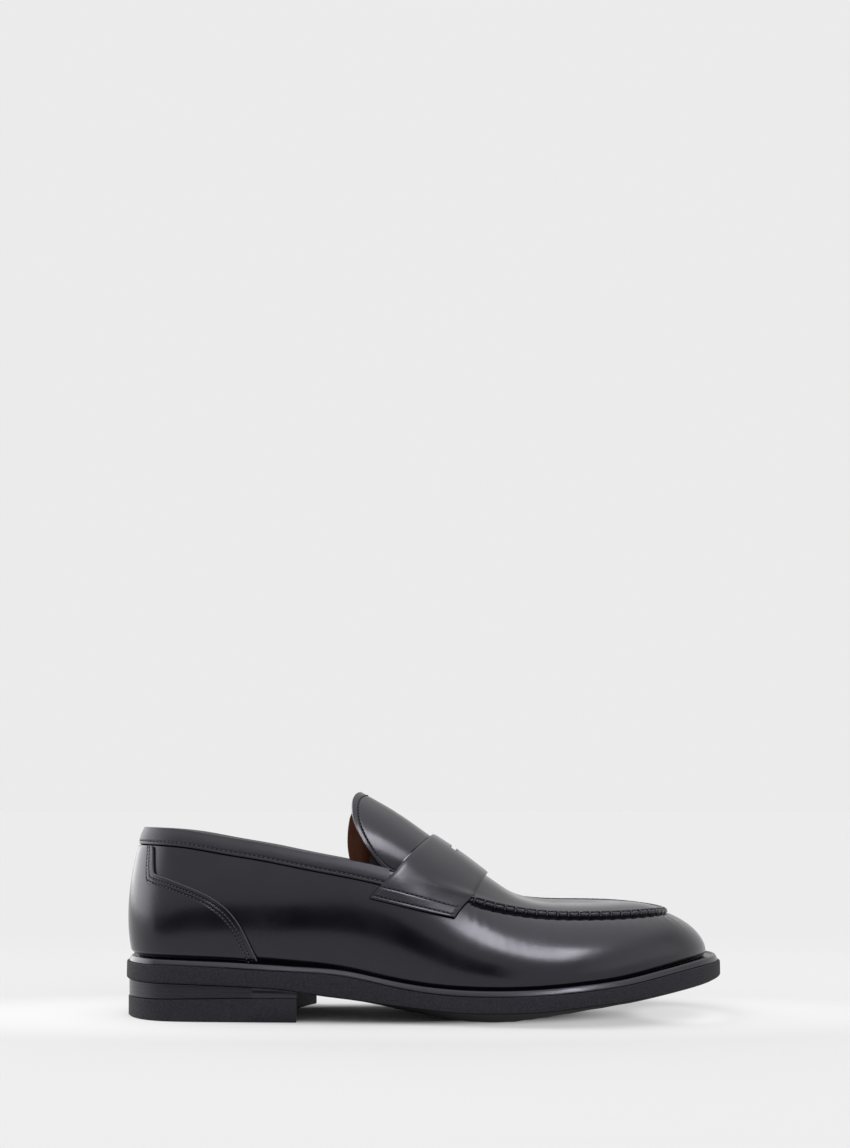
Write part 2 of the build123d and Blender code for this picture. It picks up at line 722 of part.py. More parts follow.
def foxing_stitching():
    stitches = []
    for side in (-1, 1):
        for inset in (1.8, 3.4):
            stitches += foxing_row(side, inset)
    return stitches


def foxing_row(side, inset):
    def path(t):
        turn = 0.044 + 0.068 * t
        u = turn if side < 0 else 1.0 - turn
        return u, foxing_top(u, side, inset)
    return stitch_row(path, 26, OVERLAY_LAYER[1], 2.4)


def strap_thread(a0, c0, a1, c1, count):
    row = []
    high = STRAP_LAYER[1] + 0.5
    for i in range(count):
        t = (i + 0.5) / count
        a = a0 + (a1 - a0) * t
        c = c0 + (c1 - c0) * t
        here = strap_point(a, c, high + GAP + 0.15)
        ahead = sub(strap_point(a + 0.01 * (a1 - a0), c + 0.01 * (c1 - c0), high), strap_point(a, c, high))
        out = sub(strap_point(a, c, high + 1.0), strap_point(a, c, high))
        row.append(stitch(here, unit(ahead), unit(out), 2.2, 0.5, 0.3))
    return row


def strap_stitching():
    row = []
    for side in (-1, 1):
        row += strap_thread(0.07, side * 0.972, 0.93, side * 0.972, 12)
        row += strap_thread(0.07, side * 0.888, 0.93, side * 0.888, 11)
    return row


def tongue_stitching():
    row = []
    for i in range(26):
        b = 0.06 + 0.88 * (i + 0.5) / 26
        here = tongue_point(1.0, b, GAP + 0.15, 3.0)
        ahead = sub(tongue_point(1.0, b + 0.01, 0.0, 3.0), tongue_point(1.0, b, 0.0, 3.0))
        out = sub(tongue_point(1.0, b, 1.0, 3.0), tongue_point(1.0, b, 0.0, 3.0))
        row.append(stitch(here, unit(ahead), unit(out), 2.0, 0.5, 0.3))
    return row


def apron_seam_thread():
    """Hand stitches that cross the seam round the plug."""
    row = []
    start, end = u_at(26.0, -1), u_at(26.0, 1)
    count = 46
    for i in range(count):
        u = start + (end - start) * (i + 0.5) / count
        here = wall_at(u, 0.965, 0.35 + GAP)
        across = sub(wall(u, 0.98), wall(u, 0.94))
        row.append(stitch(here, unit(across), normal(wall, u, 0.965), 2.6, 1.1, 0.6))
    return row


# ---------------------------------------------------------------- all the parts
PARTS = {
    "side_wall": side_wall,
    "heel_foxing": lambda: [heel_foxing_half(-1), heel_foxing_half(1)],
    "collar_binding": collar_binding,
    "apron": apron,
    "saddle_strap": saddle_strap,
    "strap_backing": strap_backing,
    "tongue_upper": tongue_upper,
    "tongue_lining": tongue_lining,
    "gore_lateral": lambda: gore(-1),
    "gore_medial": lambda: gore(1),
    "quarter_lining": quarter_lining,
    "vamp_lining": vamp_lining,
    "apron_lining": apron_lining,
    "heel_stiffener": heel_stiffener,
    "toe_puff": toe_puff,
    "insole_board": insole_board,
    "sock_liner": sock_liner,
    "shank": shank_plate,
    "bottom_filler": bottom_filler,
    "rand": rand,
    "sole_unit": sole_unit,
    "heel_stack": heel_stack,
    "top_lift": top_lift,
    "heel_nails": lambda: list(nail_set(NAIL_RADIUS).solids()),
    "apron_seam_thread": apron_seam_thread,
    "foxing_stitching": foxing_stitching,
    "collar_stitching": collar_stitching,
    "strap_stitching": strap_stitching,
    "tongue_stitching": tongue_stitching,
}


def write_parts():
    os.makedirs("parts", exist_ok=True)
    for name, make in PARTS.items():
        made = make()
        shape = Compound(made) if isinstance(made, list) else made
        export_step(shape, "parts/" + name + ".step")
        box = shape.bounding_box()
        size = (box.min.X, box.min.Y, box.min.Z, box.max.X, box.max.Y, box.max.Z)
        print(name, round(shape.volume), [round(v, 1) for v in size], flush=True)


write_parts()
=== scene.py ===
import math

import bpy
import bmesh
import numpy as np
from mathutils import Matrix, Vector

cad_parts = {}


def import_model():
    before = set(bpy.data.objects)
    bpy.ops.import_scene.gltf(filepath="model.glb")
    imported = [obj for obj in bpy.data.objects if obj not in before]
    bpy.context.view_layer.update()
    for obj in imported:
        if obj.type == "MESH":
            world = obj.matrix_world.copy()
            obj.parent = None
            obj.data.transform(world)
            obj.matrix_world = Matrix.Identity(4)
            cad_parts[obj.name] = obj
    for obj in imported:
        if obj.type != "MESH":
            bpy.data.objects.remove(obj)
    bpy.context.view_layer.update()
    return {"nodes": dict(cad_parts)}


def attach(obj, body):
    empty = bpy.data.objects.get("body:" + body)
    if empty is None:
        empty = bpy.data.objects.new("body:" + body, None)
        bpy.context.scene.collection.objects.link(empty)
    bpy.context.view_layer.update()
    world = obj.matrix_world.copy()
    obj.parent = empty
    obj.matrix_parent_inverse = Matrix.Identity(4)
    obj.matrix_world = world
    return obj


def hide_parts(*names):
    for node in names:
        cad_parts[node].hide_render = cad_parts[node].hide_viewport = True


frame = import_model()

# ------------ the shoe's own shape
# Lengths in millimetres until a mesh is made, the same as the CAD part's.
RAND_TOP = [(-153, 30.4), (-131, 30.4), (-110, 29.9), (-88, 28.9), (-63, 27.3), (-38, 25.2),
            (-20, 21.7), (-2, 18.8), (18, 17.4), (37, 17.4), (57, 18.4), (77, 20.4),
            (97, 22.9), (113, 25.8), (124, 27.6), (136, 29.3), (153, 30.0)]
SOLE_TOP = [(-153, 27.6), (-131, 27.6), (-110, 27.1), (-88, 25.8), (-63, 24.6), (-38, 22.4),
            (-20, 18.7), (-2, 15.7), (18, 14.3), (37, 14.5), (57, 15.5), (77, 17.3),
            (97, 19.9), (113, 22.7), (124, 24.6), (136, 26.2), (153, 26.9)]
SOLE_EDGE = [(-153, 19.0), (-131, 18.9), (-110, 18.4), (-88, 17.5), (-66, 15.7), (-53, 13.6),
             (-38, 11.8), (-22, 9.8), (-2, 7.8), (18, 6.5), (37, 6.7), (57, 7.8), (77, 10.2),
             (97, 12.4), (113, 14.5), (136, 17.5), (153, 19.6)]
TREAD = [(-70, 15.6), (-53, 13.2), (-38, 11.4), (-24, 9.3), (-12, 6.4), (0, 3.9), (12, 1.9),
         (22, 0.6), (31, 0.15), (42, 0.9), (53, 3.0), (64, 5.2), (80, 8.2), (93, 10.3),
         (113, 13.3), (136, 16.5), (153, 18.6)]
LIFT_TOP = [(-153, 9.9), (-105, 11.3), (-55, 11.8)]
# Round the shoe from the back seam: feather line x, y; top edge x, y, z; reach out and up
# from the foot; reach out and down at the top; overhang of the sole
STATIONS = [
    (-148.5, 0, -143.2, 0, 94.6, 4.3, 20, 6.6, 22, 4),
    (-144.6, -14.5, -139.8, -9.3, 94.6, 4.5, 20, 6.9, 22, 4),
    (-134, -25.1, -131.1, -16.8, 94.4, 5.2, 20, 7.6, 22, 4),
    (-119.5, -29, -118.5, -22.3, 93.4, 6.5, 20, 8.8, 22, 4),
    (-100, -30.3, -100, -26.6, 90.4, 6.5, 20, 8, 22, 4),
    (-80, -31.3, -80, -29.6, 87.2, 6.5, 19, 6.5, 21, 3.9),
    (-60, -31.8, -60, -32, 83.3, 6.5, 18, 5.5, 20, 3.8),
    (-36, -33, -36, -34.2, 78.8, 6, 17, 5, 18, 4),
    (-10, -37.2, -10, -35.2, 72.4, 5.5, 16, 6.5, 16, 4.3),
    (15, -42.8, 15, -33, 62.9, 5, 14, 9, 11.5, 4.7),
    (40, -47.3, 40, -29.6, 55.3, 4, 13, 12, 7, 5),
    (60, -48.9, 60, -28.4, 52.4, 3.5, 12.5, 13, 5.5, 5.1),
    (80, -48, 80, -27.4, 51.8, 3.2, 11.5, 13, 5, 5.2),
    (100, -43, 98, -24.4, 52, 3, 11, 13, 4.5, 5.5),
    (117, -34, 110, -18.6, 52.3, 2.5, 10, 13, 4, 6),
    (131, -22.5, 117.5, -11, 52.2, 2, 9, 13, 3.6, 6.6),
    (140.5, -9.5, 121.5, -3, 51.8, 1.5, 8.3, 12.7, 3.5, 7.2),
    (145, 6, 123, 4, 51.5, 1.2, 8, 12.5, 3.5, 7.4),
    (141.5, 20, 122, 11.5, 51.8, 1.5, 8.3, 12.7, 3.5, 7.2),
    (132, 31.5, 118, 19, 52.3, 2, 9, 13, 3.6, 6.6),
    (118, 40.5, 110.5, 25.3, 53, 2.5, 10, 13, 4, 6),
    (100, 47.2, 98, 29.4, 53.8, 3, 11, 12.5, 4.5, 5.3),
    (80, 49.3, 80, 31.2, 54.1, 3.2, 11.5, 12, 5, 4.8),
    (60, 47.3, 60, 31, 54.6, 3.6, 12.5, 12, 5.5, 4.6),
    (40, 41.8, 40, 30.4, 57.5, 4.8, 13, 11, 7.5, 4.4),
    (15, 32.5, 15, 31.5, 63.4, 7, 14, 9, 12, 4.2),
    (-10, 26, -10, 32, 69.6, 8, 16, 6, 16, 4),
    (-36, 25.3, -36, 31.5, 76.2, 8, 17, 5, 18, 4),
    (-60, 28, -60, 30, 81, 7.2, 18, 5.5, 20, 4),
    (-80, 29.6, -80, 28.2, 85.2, 6.8, 19, 6.5, 21, 4),
    (-100, 29.8, -100, 25.8, 88.8, 6.5, 20, 8, 22, 4),
    (-119.5, 29, -118.5, 21.8, 92.3, 6.5, 20, 8.8, 22, 4),
    (-134, 25.1, -131.1, 16.6, 93.7, 5.2, 20, 7.6, 22, 4),
    (-144.6, 14.5, -139.8, 9.3, 94.3, 4.5, 20, 6.9, 22, 4),
]
CREST = [(-40, 117.6), (-32.4, 113.0), (-18.9, 105.4), (-5, 96.2), (4, 89.8), (13, 83.9),
         (21.8, 77.6), (31.5, 70.3), (38.5, 65.4), (45, 61.2), (52.7, 58.0), (62, 56.4),
         (78, 56.0), (95, 56.4), (108, 56.2), (117, 54.8), (124, 52.0)]
CREST_Y = 3.0
COLLAR_HEIGHT = 8.0
FOXING_EDGE = [(-134.6, 72.3), (-127.7, 70.1), (-116.6, 66.3), (-108.2, 62.9), (-100.2, 58.2),
               (-94.1, 52.5), (-89.2, 45.2), (-85.5, 37.4), (-82.0, 29.6)]
FOXING_NOTCH, FOXING_RAMP = 0.0372, 0.004
FOXING_FOOT = 0.016
FOXING_ROWS = (1.8, 3.3)
GIRTH, WALL_RUN = 640, 62.0  # lengths that one turn of u and one of v stand for
STRAP_REAR = [(0.0, 4.0), (0.36, -1.5), (0.72, -14.5), (0.86, -20.5), (1.0, -26.3)]
STRAP_FRONT = [(0.0, 31.5), (0.36, 28.9), (0.72, 22.5), (0.86, 19.0), (1.0, 15.2)]
STRAP_EDGE = 0.72
STRAP_ROWS = (0.974, 0.888)
STRAP_OUT = 2.1
STRAP_END_Z = [(-26.3, 61.1), (-5.0, 56.0), (15.2, 51.4)]
SLOT_X = 14.0
TONGUE_END = [(0.0, -32.4), (0.15, -34.2), (0.32, -36.2), (0.45, -36.6), (0.6, -35.6),
              (0.76, -31.6), (0.9, -26.0), (1.0, -20.5)]
TONGUE_WING_Y = 27.6


def spline(keys):
    """Natural cubic through (t, value) keys, for single values and arrays."""
    t = np.array([k[0] for k in keys], float)
    v = np.array([k[1] for k in keys], float)
    h = np.diff(t)
    n = len(t)
    system = np.eye(n)
    right = np.zeros(n)
    for i in range(1, n - 1):
        system[i, i - 1:i + 2] = h[i - 1], 2 * (h[i - 1] + h[i]), h[i]
        right[i] = 6 * ((v[i + 1] - v[i]) / h[i] - (v[i] - v[i - 1]) / h[i - 1])
    bend = np.linalg.solve(system, right)

    def value(x):
        x = np.clip(np.asarray(x, float), t[0], t[-1])
        i = np.clip(np.searchsorted(t, x, side="right") - 1, 0, n - 2)
        a = (t[i + 1] - x) / h[i]
        b = 1 - a
        curve = (a ** 3 - a) * bend[i] + (b ** 3 - b) * bend[i + 1]
        return a * v[i] + b * v[i + 1] + curve * h[i] ** 2 / 6
    return value


def closed_splines(rows):
    rows = np.array(rows, float)
    ahead = np.roll(rows, -1, axis=0)
    low_step = np.hypot(*(ahead[:, 0:2] - rows[:, 0:2]).T)
    top_step = np.hypot(*(ahead[:, 2:4] - rows[:, 2:4]).T)
    step = 0.5 * (low_step + top_step)
    along = np.concatenate([[0.0], np.cumsum(step)])
    along /= along[-1]
    columns = []
    for c in range(rows.shape[1]):
        keys = []
        for i in range(-5, len(rows) + 6):
            turn, k = divmod(i, len(rows))
            keys.append((along[k] + turn, rows[k, c]))
        columns.append(spline(keys))
    return columns, along


COLUMNS, STATION_U = closed_splines(STATIONS)
TOE_U = STATION_U[17]
rand_top, sole_top, sole_edge = spline(RAND_TOP), spline(SOLE_TOP), spline(SOLE_EDGE)
lift_top, crest_z, tread_line = spline(LIFT_TOP), spline(CREST), spline(TREAD)
strap_rear, strap_front = spline(STRAP_REAR), spline(STRAP_FRONT)
strap_end_z, tongue_end = spline(STRAP_END_Z), spline(TONGUE_END)


def arrays(*parts):
    """All parts as float arrays of one shape."""
    return np.broadcast_arrays(*[np.asarray(p, float) for p in parts])


def stack(*parts):
    return np.stack(arrays(*parts), axis=-1)


def turned(direction, towards):
    """The directions, each reversed where it points away from its other vector."""
    flip = np.where(np.sum(direction * towards, axis=-1) < 0, -1.0, 1.0)
    return direction * flip[..., None]


def unit(p):
    return p / np.maximum(np.linalg.norm(p, axis=-1, keepdims=True), 1e-12)


def smooth(t):
    t = np.clip(t, 0, 1)
    return t * t * (3 - 2 * t)


def bezier(p0, p1, p2, p3, t):
    t = np.asarray(t, float)[..., None]
    s = 1 - t
    return s ** 3 * p0 + 3 * s * s * t * p1 + 3 * s * t * t * p2 + t ** 3 * p3


def feather(u):
    u = np.asarray(u, float)
    x, y = COLUMNS[0](u), COLUMNS[1](u)
    dx = COLUMNS[0](u + 0.002) - COLUMNS[0](u - 0.002)
    dy = COLUMNS[1](u + 0.002) - COLUMNS[1](u - 0.002)
    size = np.hypot(dx, dy)
    return x, y, dy / size, -dx / size


def wall(u, v):
    x, y, nx, ny = feather(u)
    top = stack(COLUMNS[2](u), COLUMNS[3](u), COLUMNS[4](u))
    out1, up1, out2, down2 = (COLUMNS[c](u) for c in (5, 6, 7, 8))
    low = stack(x, y, rand_top(x) + 0.2)
    c1 = low + stack(nx * out1, ny * out1, up1)
    c2 = top + stack(nx * out2, ny * out2, -down2)
    return bezier(low, c1, c2, top, v)


def facing_out(n, here):
    middle = np.clip(here[..., 0], -110, 90)
    return turned(n, here - stack(middle, 2.0, 32.0))


def wall_normal(u, v):
    u, v = arrays(u, v)
    along = wall(u + 0.002, v) - wall(u - 0.002, v)
    up = wall(u, v + 0.002) - wall(u, v - 0.002)
    return facing_out(unit(np.cross(along, up)), wall(u, v))


def wall_at(u, v, out=0.0):
    u, v, out = arrays(u, v, out)
    return wall(u, v) + wall_normal(u, v) * out[..., None]


def bisect(function, shape, low, high):
    low = np.full(shape, float(low))
    high = np.full(shape, float(high))
    for _ in range(34):
        middle = 0.5 * (low + high)
        under = function(middle) < 0
        low = np.where(under, middle, low)
        high = np.where(under, high, middle)
    return 0.5 * (low + high)


def v_at(u, z):
    u, z = arrays(u, z)
    return bisect(lambda v: wall(u, v)[..., 2] - z, u.shape, 0, 1)


def u_at(x, side):
    """Place round the shoe where the top edge has the given x; side -1 is outer."""
    x, side = arrays(x, side)
    outer = bisect(lambda u: COLUMNS[2](u) - x, x.shape, 0.0, TOE_U)
    inner = bisect(lambda u: x - COLUMNS[2](u), x.shape, TOE_U, 1.0)
    return np.where(side < 0, outer, inner)


def locate(x, z, side):
    """Wall parameters of the point with the given x and z."""
    u = float(u_at(x, side))
    for _ in range(6):
        v = float(v_at(u, z))
        if side < 0:
            u = float(bisect(lambda q: wall(q, v)[..., 0] - x, (), 0.0, TOE_U))
        else:
            u = float(bisect(lambda q: x - wall(q, v)[..., 0], (), TOE_U, 1.0))
    return u, float(v_at(u, z))


def arch(x, b):
    x, b = arrays(x, b)
    side = np.where(b < 0, -1.0, 1.0)
    u = u_at(np.minimum(x, 122.6), side)
    edge = wall(u, 1.0)
    inward = unit(edge - wall(u, 0.97))
    crest = stack(x, CREST_Y + 0.006 * np.maximum(0, x), crest_z(x))
    span = np.abs(crest[..., 1] - edge[..., 1])
    rise = np.maximum(crest[..., 2] - edge[..., 2], 0.5)
    reach = 0.36 * np.hypot(span, rise)
    p1 = crest + stack(0, side * 0.45 * span, 0)
    p2 = stack(x, edge[..., 1] + inward[..., 1] * reach, edge[..., 2] + inward[..., 2] * reach)
    p3 = stack(x, edge[..., 1], edge[..., 2])
    return bezier(crest, p1, p2, p3, np.abs(b))


def tongue_arch(x, b):
    x, b = arrays(x, b)
    side = np.where(b < 0, -1.0, 1.0)
    crest = stack(x, CREST_Y, crest_z(x))
    low = smooth((-22 - x) / 12) * np.where(side > 0, 1.0, 0.0)
    wing_y = CREST_Y + side * (TONGUE_WING_Y + 0.3 - 4.5 * low)
    wing = stack(x, wing_y, 73.5 - 0.28 * (x + 15) - 5.5 * low)
    rise = crest[..., 2] - wing[..., 2]
    p1 = crest + stack(0, side * 0.52 * TONGUE_WING_Y, 0)
    p2 = wing + stack(0, -side * 0.5, 0.5 * rise)
    return bezier(crest, p1, p2, wing, np.abs(b))


def up_normal(surface, x, b):
    x, b = arrays(x, b)
    bb = np.clip(b, -0.98, 0.98)
    along = surface(x + 0.3, bb) - surface(x - 0.3, bb)
    across = surface(x, bb + 0.02) - surface(x, bb - 0.02)
    n = unit(np.cross(along, across))
    return n * np.where(n[..., 2] < 0, -1.0, 1.0)[..., None]


def over(surface, x, b, out):
    out = np.asarray(out, float)
    return surface(x, b) + up_normal(surface, x, b) * np.broadcast_to(out, np.shape(x))[..., None]


def collar_low(u):
    return v_at(u, COLUMNS[4](u) - COLLAR_HEIGHT)


FOXING_V = {}
for s in (-1, 1):
    keys = [(0.0, 0.70), (0.033, 0.685)]
    for fx, fz in FOXING_EDGE:
        fu, fv = locate(fx, fz, s)
        keys.append((fu if s < 0 else 1 - fu, fv))
    FOXING_V[s] = spline(keys)
FOXING_END = {s: locate(*FOXING_EDGE[-1], s)[0] for s in (-1, 1)}


def foxing_top(u, inset=0.0):
    """Upper border of the foxing as a wall parameter, set in by a distance in mm."""
    u = np.mod(u, 1.0)
    turn = np.where(u < 0.5, u, 1 - u)
    low = np.where(u < 0.5, FOXING_V[-1](turn + inset / GIRTH), FOXING_V[1](turn + inset / GIRTH))
    low = low - inset / WALL_RUN
    high = collar_low(u) - 0.012
    share = smooth((turn - FOXING_NOTCH + FOXING_RAMP + inset / GIRTH) / (2 * FOXING_RAMP))
    return high + (low - high) * share


def strap_point(a, c, out):
    a, c = arrays(a, c)
    girth = np.abs(c)
    side = np.where(c < 0, -1.0, 1.0)
    x = strap_rear(girth) + (strap_front(girth) - strap_rear(girth)) * a
    over_top = over(arch, x, np.clip(side * girth / STRAP_EDGE, -1, 1), np.broadcast_to(out, x.shape))
    u = u_at(x, side)
    v_end = v_at(u, strap_end_z(x) + np.where(side < 0, 0.0, 3.0))
    share = np.clip((girth - STRAP_EDGE) / (1 - STRAP_EDGE), 0, 1)
    on_wall = wall_at(u, 1 - (1 - v_end) * share, out)
    return np.where((girth <= STRAP_EDGE)[..., None], over_top, on_wall)


# ------------ mesh tools
def mesh_object(name, points, faces, material, bevel=0.0, angle=35.0):
    mesh = bpy.data.meshes.new(name)
    mesh.from_pydata((np.asarray(points).reshape(-1, 3) * 0.001).tolist(), [], faces)
    mesh.update()
    mesh.materials.append(material)
    mesh.polygons.foreach_set("use_smooth", [True] * len(mesh.polygons))
    mesh.set_sharp_from_angle(angle=math.radians(angle))
    obj = bpy.data.objects.new(name, mesh)
    bpy.context.scene.collection.objects.link(obj)
    if bevel:
        mod = obj.modifiers.new("edge", "BEVEL")
        mod.width = bevel * 0.001
        mod.segments = 3
        mod.limit_method = "ANGLE"
        mod.angle_limit = math.radians(50)
    return obj


def fix_normals(obj):
    """Turns the faces outwards, once the mesh is closed."""
    work = bmesh.new()
    work.from_mesh(obj.data)
    bmesh.ops.recalc_face_normals(work, faces=work.faces)
    work.to_mesh(obj.data)
    work.free()
    return obj


def sheet(name, point, rows, cols, low, high, material, bevel):
    """Closed sheet mesh between two offsets of a patch."""
    a = np.linspace(0, 1, rows + 1)[:, None] * np.ones((1, cols + 1))
    b = np.linspace(0, 1, cols + 1)[None, :] * np.ones((rows + 1, 1))
    outer = point(a, b, high)
    inner = point(a, b, low)
    n = (rows + 1) * (cols + 1)
    index = np.arange(n).reshape(rows + 1, cols + 1)
    faces = []
    q = np.stack([index[:-1, :-1], index[1:, :-1], index[1:, 1:], index[:-1, 1:]], -1).reshape(-1, 4)
    faces += q.tolist()
    faces += (q[:, ::-1] + n).tolist()
    rim = list(index[0, :]) + list(index[1:, -1]) + list(index[-1, -2::-1]) + list(index[-2:0:-1, 0])
    for i, here in enumerate(rim):
        ahead = rim[(i + 1) % len(rim)]
        faces.append([int(here), int(ahead), int(ahead) + n, int(here) + n])
    points = np.concatenate([outer.reshape(-1, 3), inner.reshape(-1, 3)])
    return fix_normals(mesh_object(name, points, faces, material, bevel))


def ring(name, sections, material, closed=True, angle=35.0):
    """Surface through closed sections, an array of (count, around, 3)."""
    count, around = sections.shape[:2]
    index = np.arange(count * around).reshape(count, around)
    after = np.roll(index, -1, axis=0)
    if not closed:
        index, after = index[:-1], after[:-1]
    side = np.roll(index, -1, axis=1)
    side_after = np.roll(after, -1, axis=1)
    faces = np.stack([index, side, side_after, after], -1).reshape(-1, 4).tolist()
    if not closed:
        full = np.arange(count * around).reshape(count, around)
        faces.append(full[0, ::-1].tolist())
        faces.append(full[-1].tolist())
    return fix_normals(mesh_object(name, sections, faces, material, 0.0, angle))


def tube_faces(base, around, segments):
    """Side faces of rings of points and the faces that close both ends."""
    faces = []
    for i in range(segments):
        p = base + i * around
        for j in range(around):
            j2 = (j + 1) % around
            faces.append([p + j, p + j2, p + around + j2, p + around + j])
    faces.append([base + j for j in reversed(range(around))])
    faces.append([base + segments * around + j for j in range(around)])
    return faces


def threads(name, starts, ends, ups, material, width=0.55, height=0.42, sink=0.18, segments=6):
    """One capsule-like stitch for each start and end."""
    starts, ends, ups = (np.asarray(q, float) for q in (starts, ends, ups))
    along = unit(ends - starts)
    side = unit(np.cross(ups, along))
    up = unit(np.cross(along, side))
    around = 8
    points, faces = [], []
    t = np.linspace(0, 1, segments + 1)
    for k in range(len(starts)):
        base = len(points)
        for s in t:
            swell = math.sqrt(max(0.0, 1 - (2 * s - 1) ** 4)) * 0.8 + 0.2
            lift = height * 0.5 * swell - sink * (2 * s - 1) ** 2
            centre = starts[k] + (ends[k] - starts[k]) * s + up[k] * lift
            for j in range(around):
                w = 2 * math.pi * j / around
                reach = side[k] * math.cos(w) * width * 0.5 + up[k] * math.sin(w) * height * 0.5
                points.append(centre + reach * swell)
        faces += tube_faces(base, around, segments)
    return fix_normals(mesh_object(name, np.array(points), faces, material, 0.0, 60.0))


def row(path, count, length, normal_at, lift=0.0):
    """Starts, ends and normals of evenly spaced stitches along path(t)."""
    t = np.linspace(0, 1, 801)
    line = path(t)
    reach = np.concatenate([[0], np.cumsum(np.linalg.norm(np.diff(line, axis=0), axis=1))])
    pitch = reach[-1] / count
    middles = (np.arange(count) + 0.5) * pitch
    t0 = np.interp(middles - length / 2, reach, t)
    t1 = np.interp(middles + length / 2, reach, t)
    tm = np.interp(middles, reach, t)
    ups = normal_at(tm)
    return path(t0) + ups * lift, path(t1) + ups * lift, ups


def discs(name, places, ups, radius, material):
    """Small flat domes, one for each needle hole; sewn() gives them the near-black of painted shade
    inside the hole.
    """
    ups = unit(np.asarray(ups, float))
    side = unit(np.cross(ups, stack(0.31, 0.17, 0.93)))
    other = np.cross(ups, side)
    points, faces = [], []
    for k, here in enumerate(places):
        base = len(points)
        for reach, rise in ((1.0, -0.12), (0.75, 0.05)):
            for j in range(8):
                w = 2 * math.pi * j / 8
                away = side[k] * math.cos(w) + other[k] * math.sin(w)
                points.append(here + away * radius * reach + ups[k] * rise)
        faces += tube_faces(base, 8, 1)
    return fix_normals(mesh_object(name, np.array(points), faces, material, 0.0, 50.0))


# ------------ materials
SHEEN_TINT = (0.90, 0.88, 1.0)


def base_material(name, color, roughness, specular=0.5, coat=0.0, coat_roughness=0.15):
    mat = bpy.data.materials.new(name)
    mat.use_nodes = True
    shader = mat.node_tree.nodes["Principled BSDF"]
    shader.inputs["Base Color"].default_value = (*color, 1)
    shader.inputs["Roughness"].default_value = roughness
    shader.inputs["Specular IOR Level"].default_value = specular
    shader.inputs["Coat Weight"].default_value = coat
    shader.inputs["Coat Roughness"].default_value = coat_roughness
    shader.inputs["Specular Tint"].default_value = (*SHEEN_TINT, 1)
    return mat, mat.node_tree, shader


def placed(tree, stretch, move=(0, 0, 0)):
    """Position on the object after a stretch and a move."""
    where = tree.nodes.new("ShaderNodeTexCoord")
    place = tree.nodes.new("ShaderNodeMapping")
    place.inputs["Location"].default_value = move
    place.inputs["Scale"].default_value = stretch
    tree.links.new(where.outputs["Object"], place.inputs["Vector"])
    return place.outputs["Vector"]


def texture(tree, kind, scale, detail=3.0, stretch=(1, 1, 1)):
    node = tree.nodes.new(kind)
    node.inputs["Scale"].default_value = scale
    if "Detail" in node.inputs:
        node.inputs["Detail"].default_value = detail
    tree.links.new(placed(tree, stretch), node.inputs["Vector"])
    return node


def bump(tree, shader, height, strength, distance, before=None):
    node = tree.nodes.new("ShaderNodeBump")
    node.inputs["Strength"].default_value = strength
    node.inputs["Distance"].default_value = distance
    tree.links.new(height, node.inputs["Height"])
    if before is not None:
        tree.links.new(before.outputs["Normal"], node.inputs["Normal"])
    tree.links.new(node.outputs["Normal"], shader.inputs["Normal"])
    return node


def ramp(tree, source, start, end, low, high, kind="SMOOTHSTEP"):
    node = tree.nodes.new("ShaderNodeMapRange")
    node.interpolation_type = kind
    for socket, value in (("From Min", start), ("From Max", end), ("To Min", low), ("To Max", high)):
        node.inputs[socket].default_value = value
    tree.links.new(source, node.inputs["Value"])
    return node.outputs["Result"]


def vary(tree, socket, source, low, high):
    tree.links.new(ramp(tree, source, 0.3, 0.7, low, high, "LINEAR"), socket)


def tint(tree, socket, source, dark, light, start=0.3, end=0.7):
    node = tree.nodes.new("ShaderNodeValToRGB")
    for stop, place, color in zip(node.color_ramp.elements, (start, end), (dark, light)):
        stop.position = place
        stop.color = (*color, 1)
    tree.links.new(source, node.inputs["Fac"])
    tree.links.new(node.outputs["Color"], socket)


def calf(name, roughness, coat, grain):
    mat, tree, shader = base_material(name, (0.0045, 0.004, 0.006), roughness, 0.45, coat, 0.12)
    cloud = texture(tree, "ShaderNodeTexNoise", 55, 4)
    dark, light = (0.0035, 0.0032, 0.0048), (0.0055, 0.005, 0.0075)
    tint(tree, shader.inputs["Base Color"], cloud.outputs["Fac"], dark, light)
    vary(tree, shader.inputs["Roughness"], cloud.outputs["Fac"], roughness - 0.04, roughness + 0.05)
    slow = texture(tree, "ShaderNodeTexNoise", 38, 2)
    first = bump(tree, shader, slow.outputs["Fac"], 0.25, 0.0006)
    pore = texture(tree, "ShaderNodeTexVoronoi", 1500)
    second = bump(tree, shader, pore.outputs["Distance"], grain, 0.00012, first)
    fine = texture(tree, "ShaderNodeTexNoise", 700, 5)
    bump(tree, shader, fine.outputs["Fac"], grain * 0.8, 0.00015, second)
    return mat


def rubber(name, roughness, grain, scale, color=(0.009, 0.0085, 0.011)):
    mat, tree, shader = base_material(name, color, roughness, 0.32)
    speck = texture(tree, "ShaderNodeTexNoise", scale, 6)
    dark = tuple(c * 0.45 for c in color)
    light = tuple(c * 1.9 for c in color)
    tint(tree, shader.inputs["Base Color"], speck.outputs["Fac"], dark, light, 0.35, 0.65)
    first = bump(tree, shader, speck.outputs["Fac"], grain, 0.0005)
    pit = texture(tree, "ShaderNodeTexVoronoi", scale * 1.3)
    bump(tree, shader, pit.outputs["Distance"], grain * 0.6, 0.0003, first)
    return mat


def smooth_edge(name):
    mat, tree, shader = base_material(name, (0.006, 0.0055, 0.008), 0.3, 0.5)
    lines = texture(tree, "ShaderNodeTexNoise", 260, 3, (0.06, 0.06, 2.2))
    vary(tree, shader.inputs["Roughness"], lines.outputs["Fac"], 0.20, 0.36)
    bump(tree, shader, lines.outputs["Fac"], 0.18, 0.0004)
    return mat


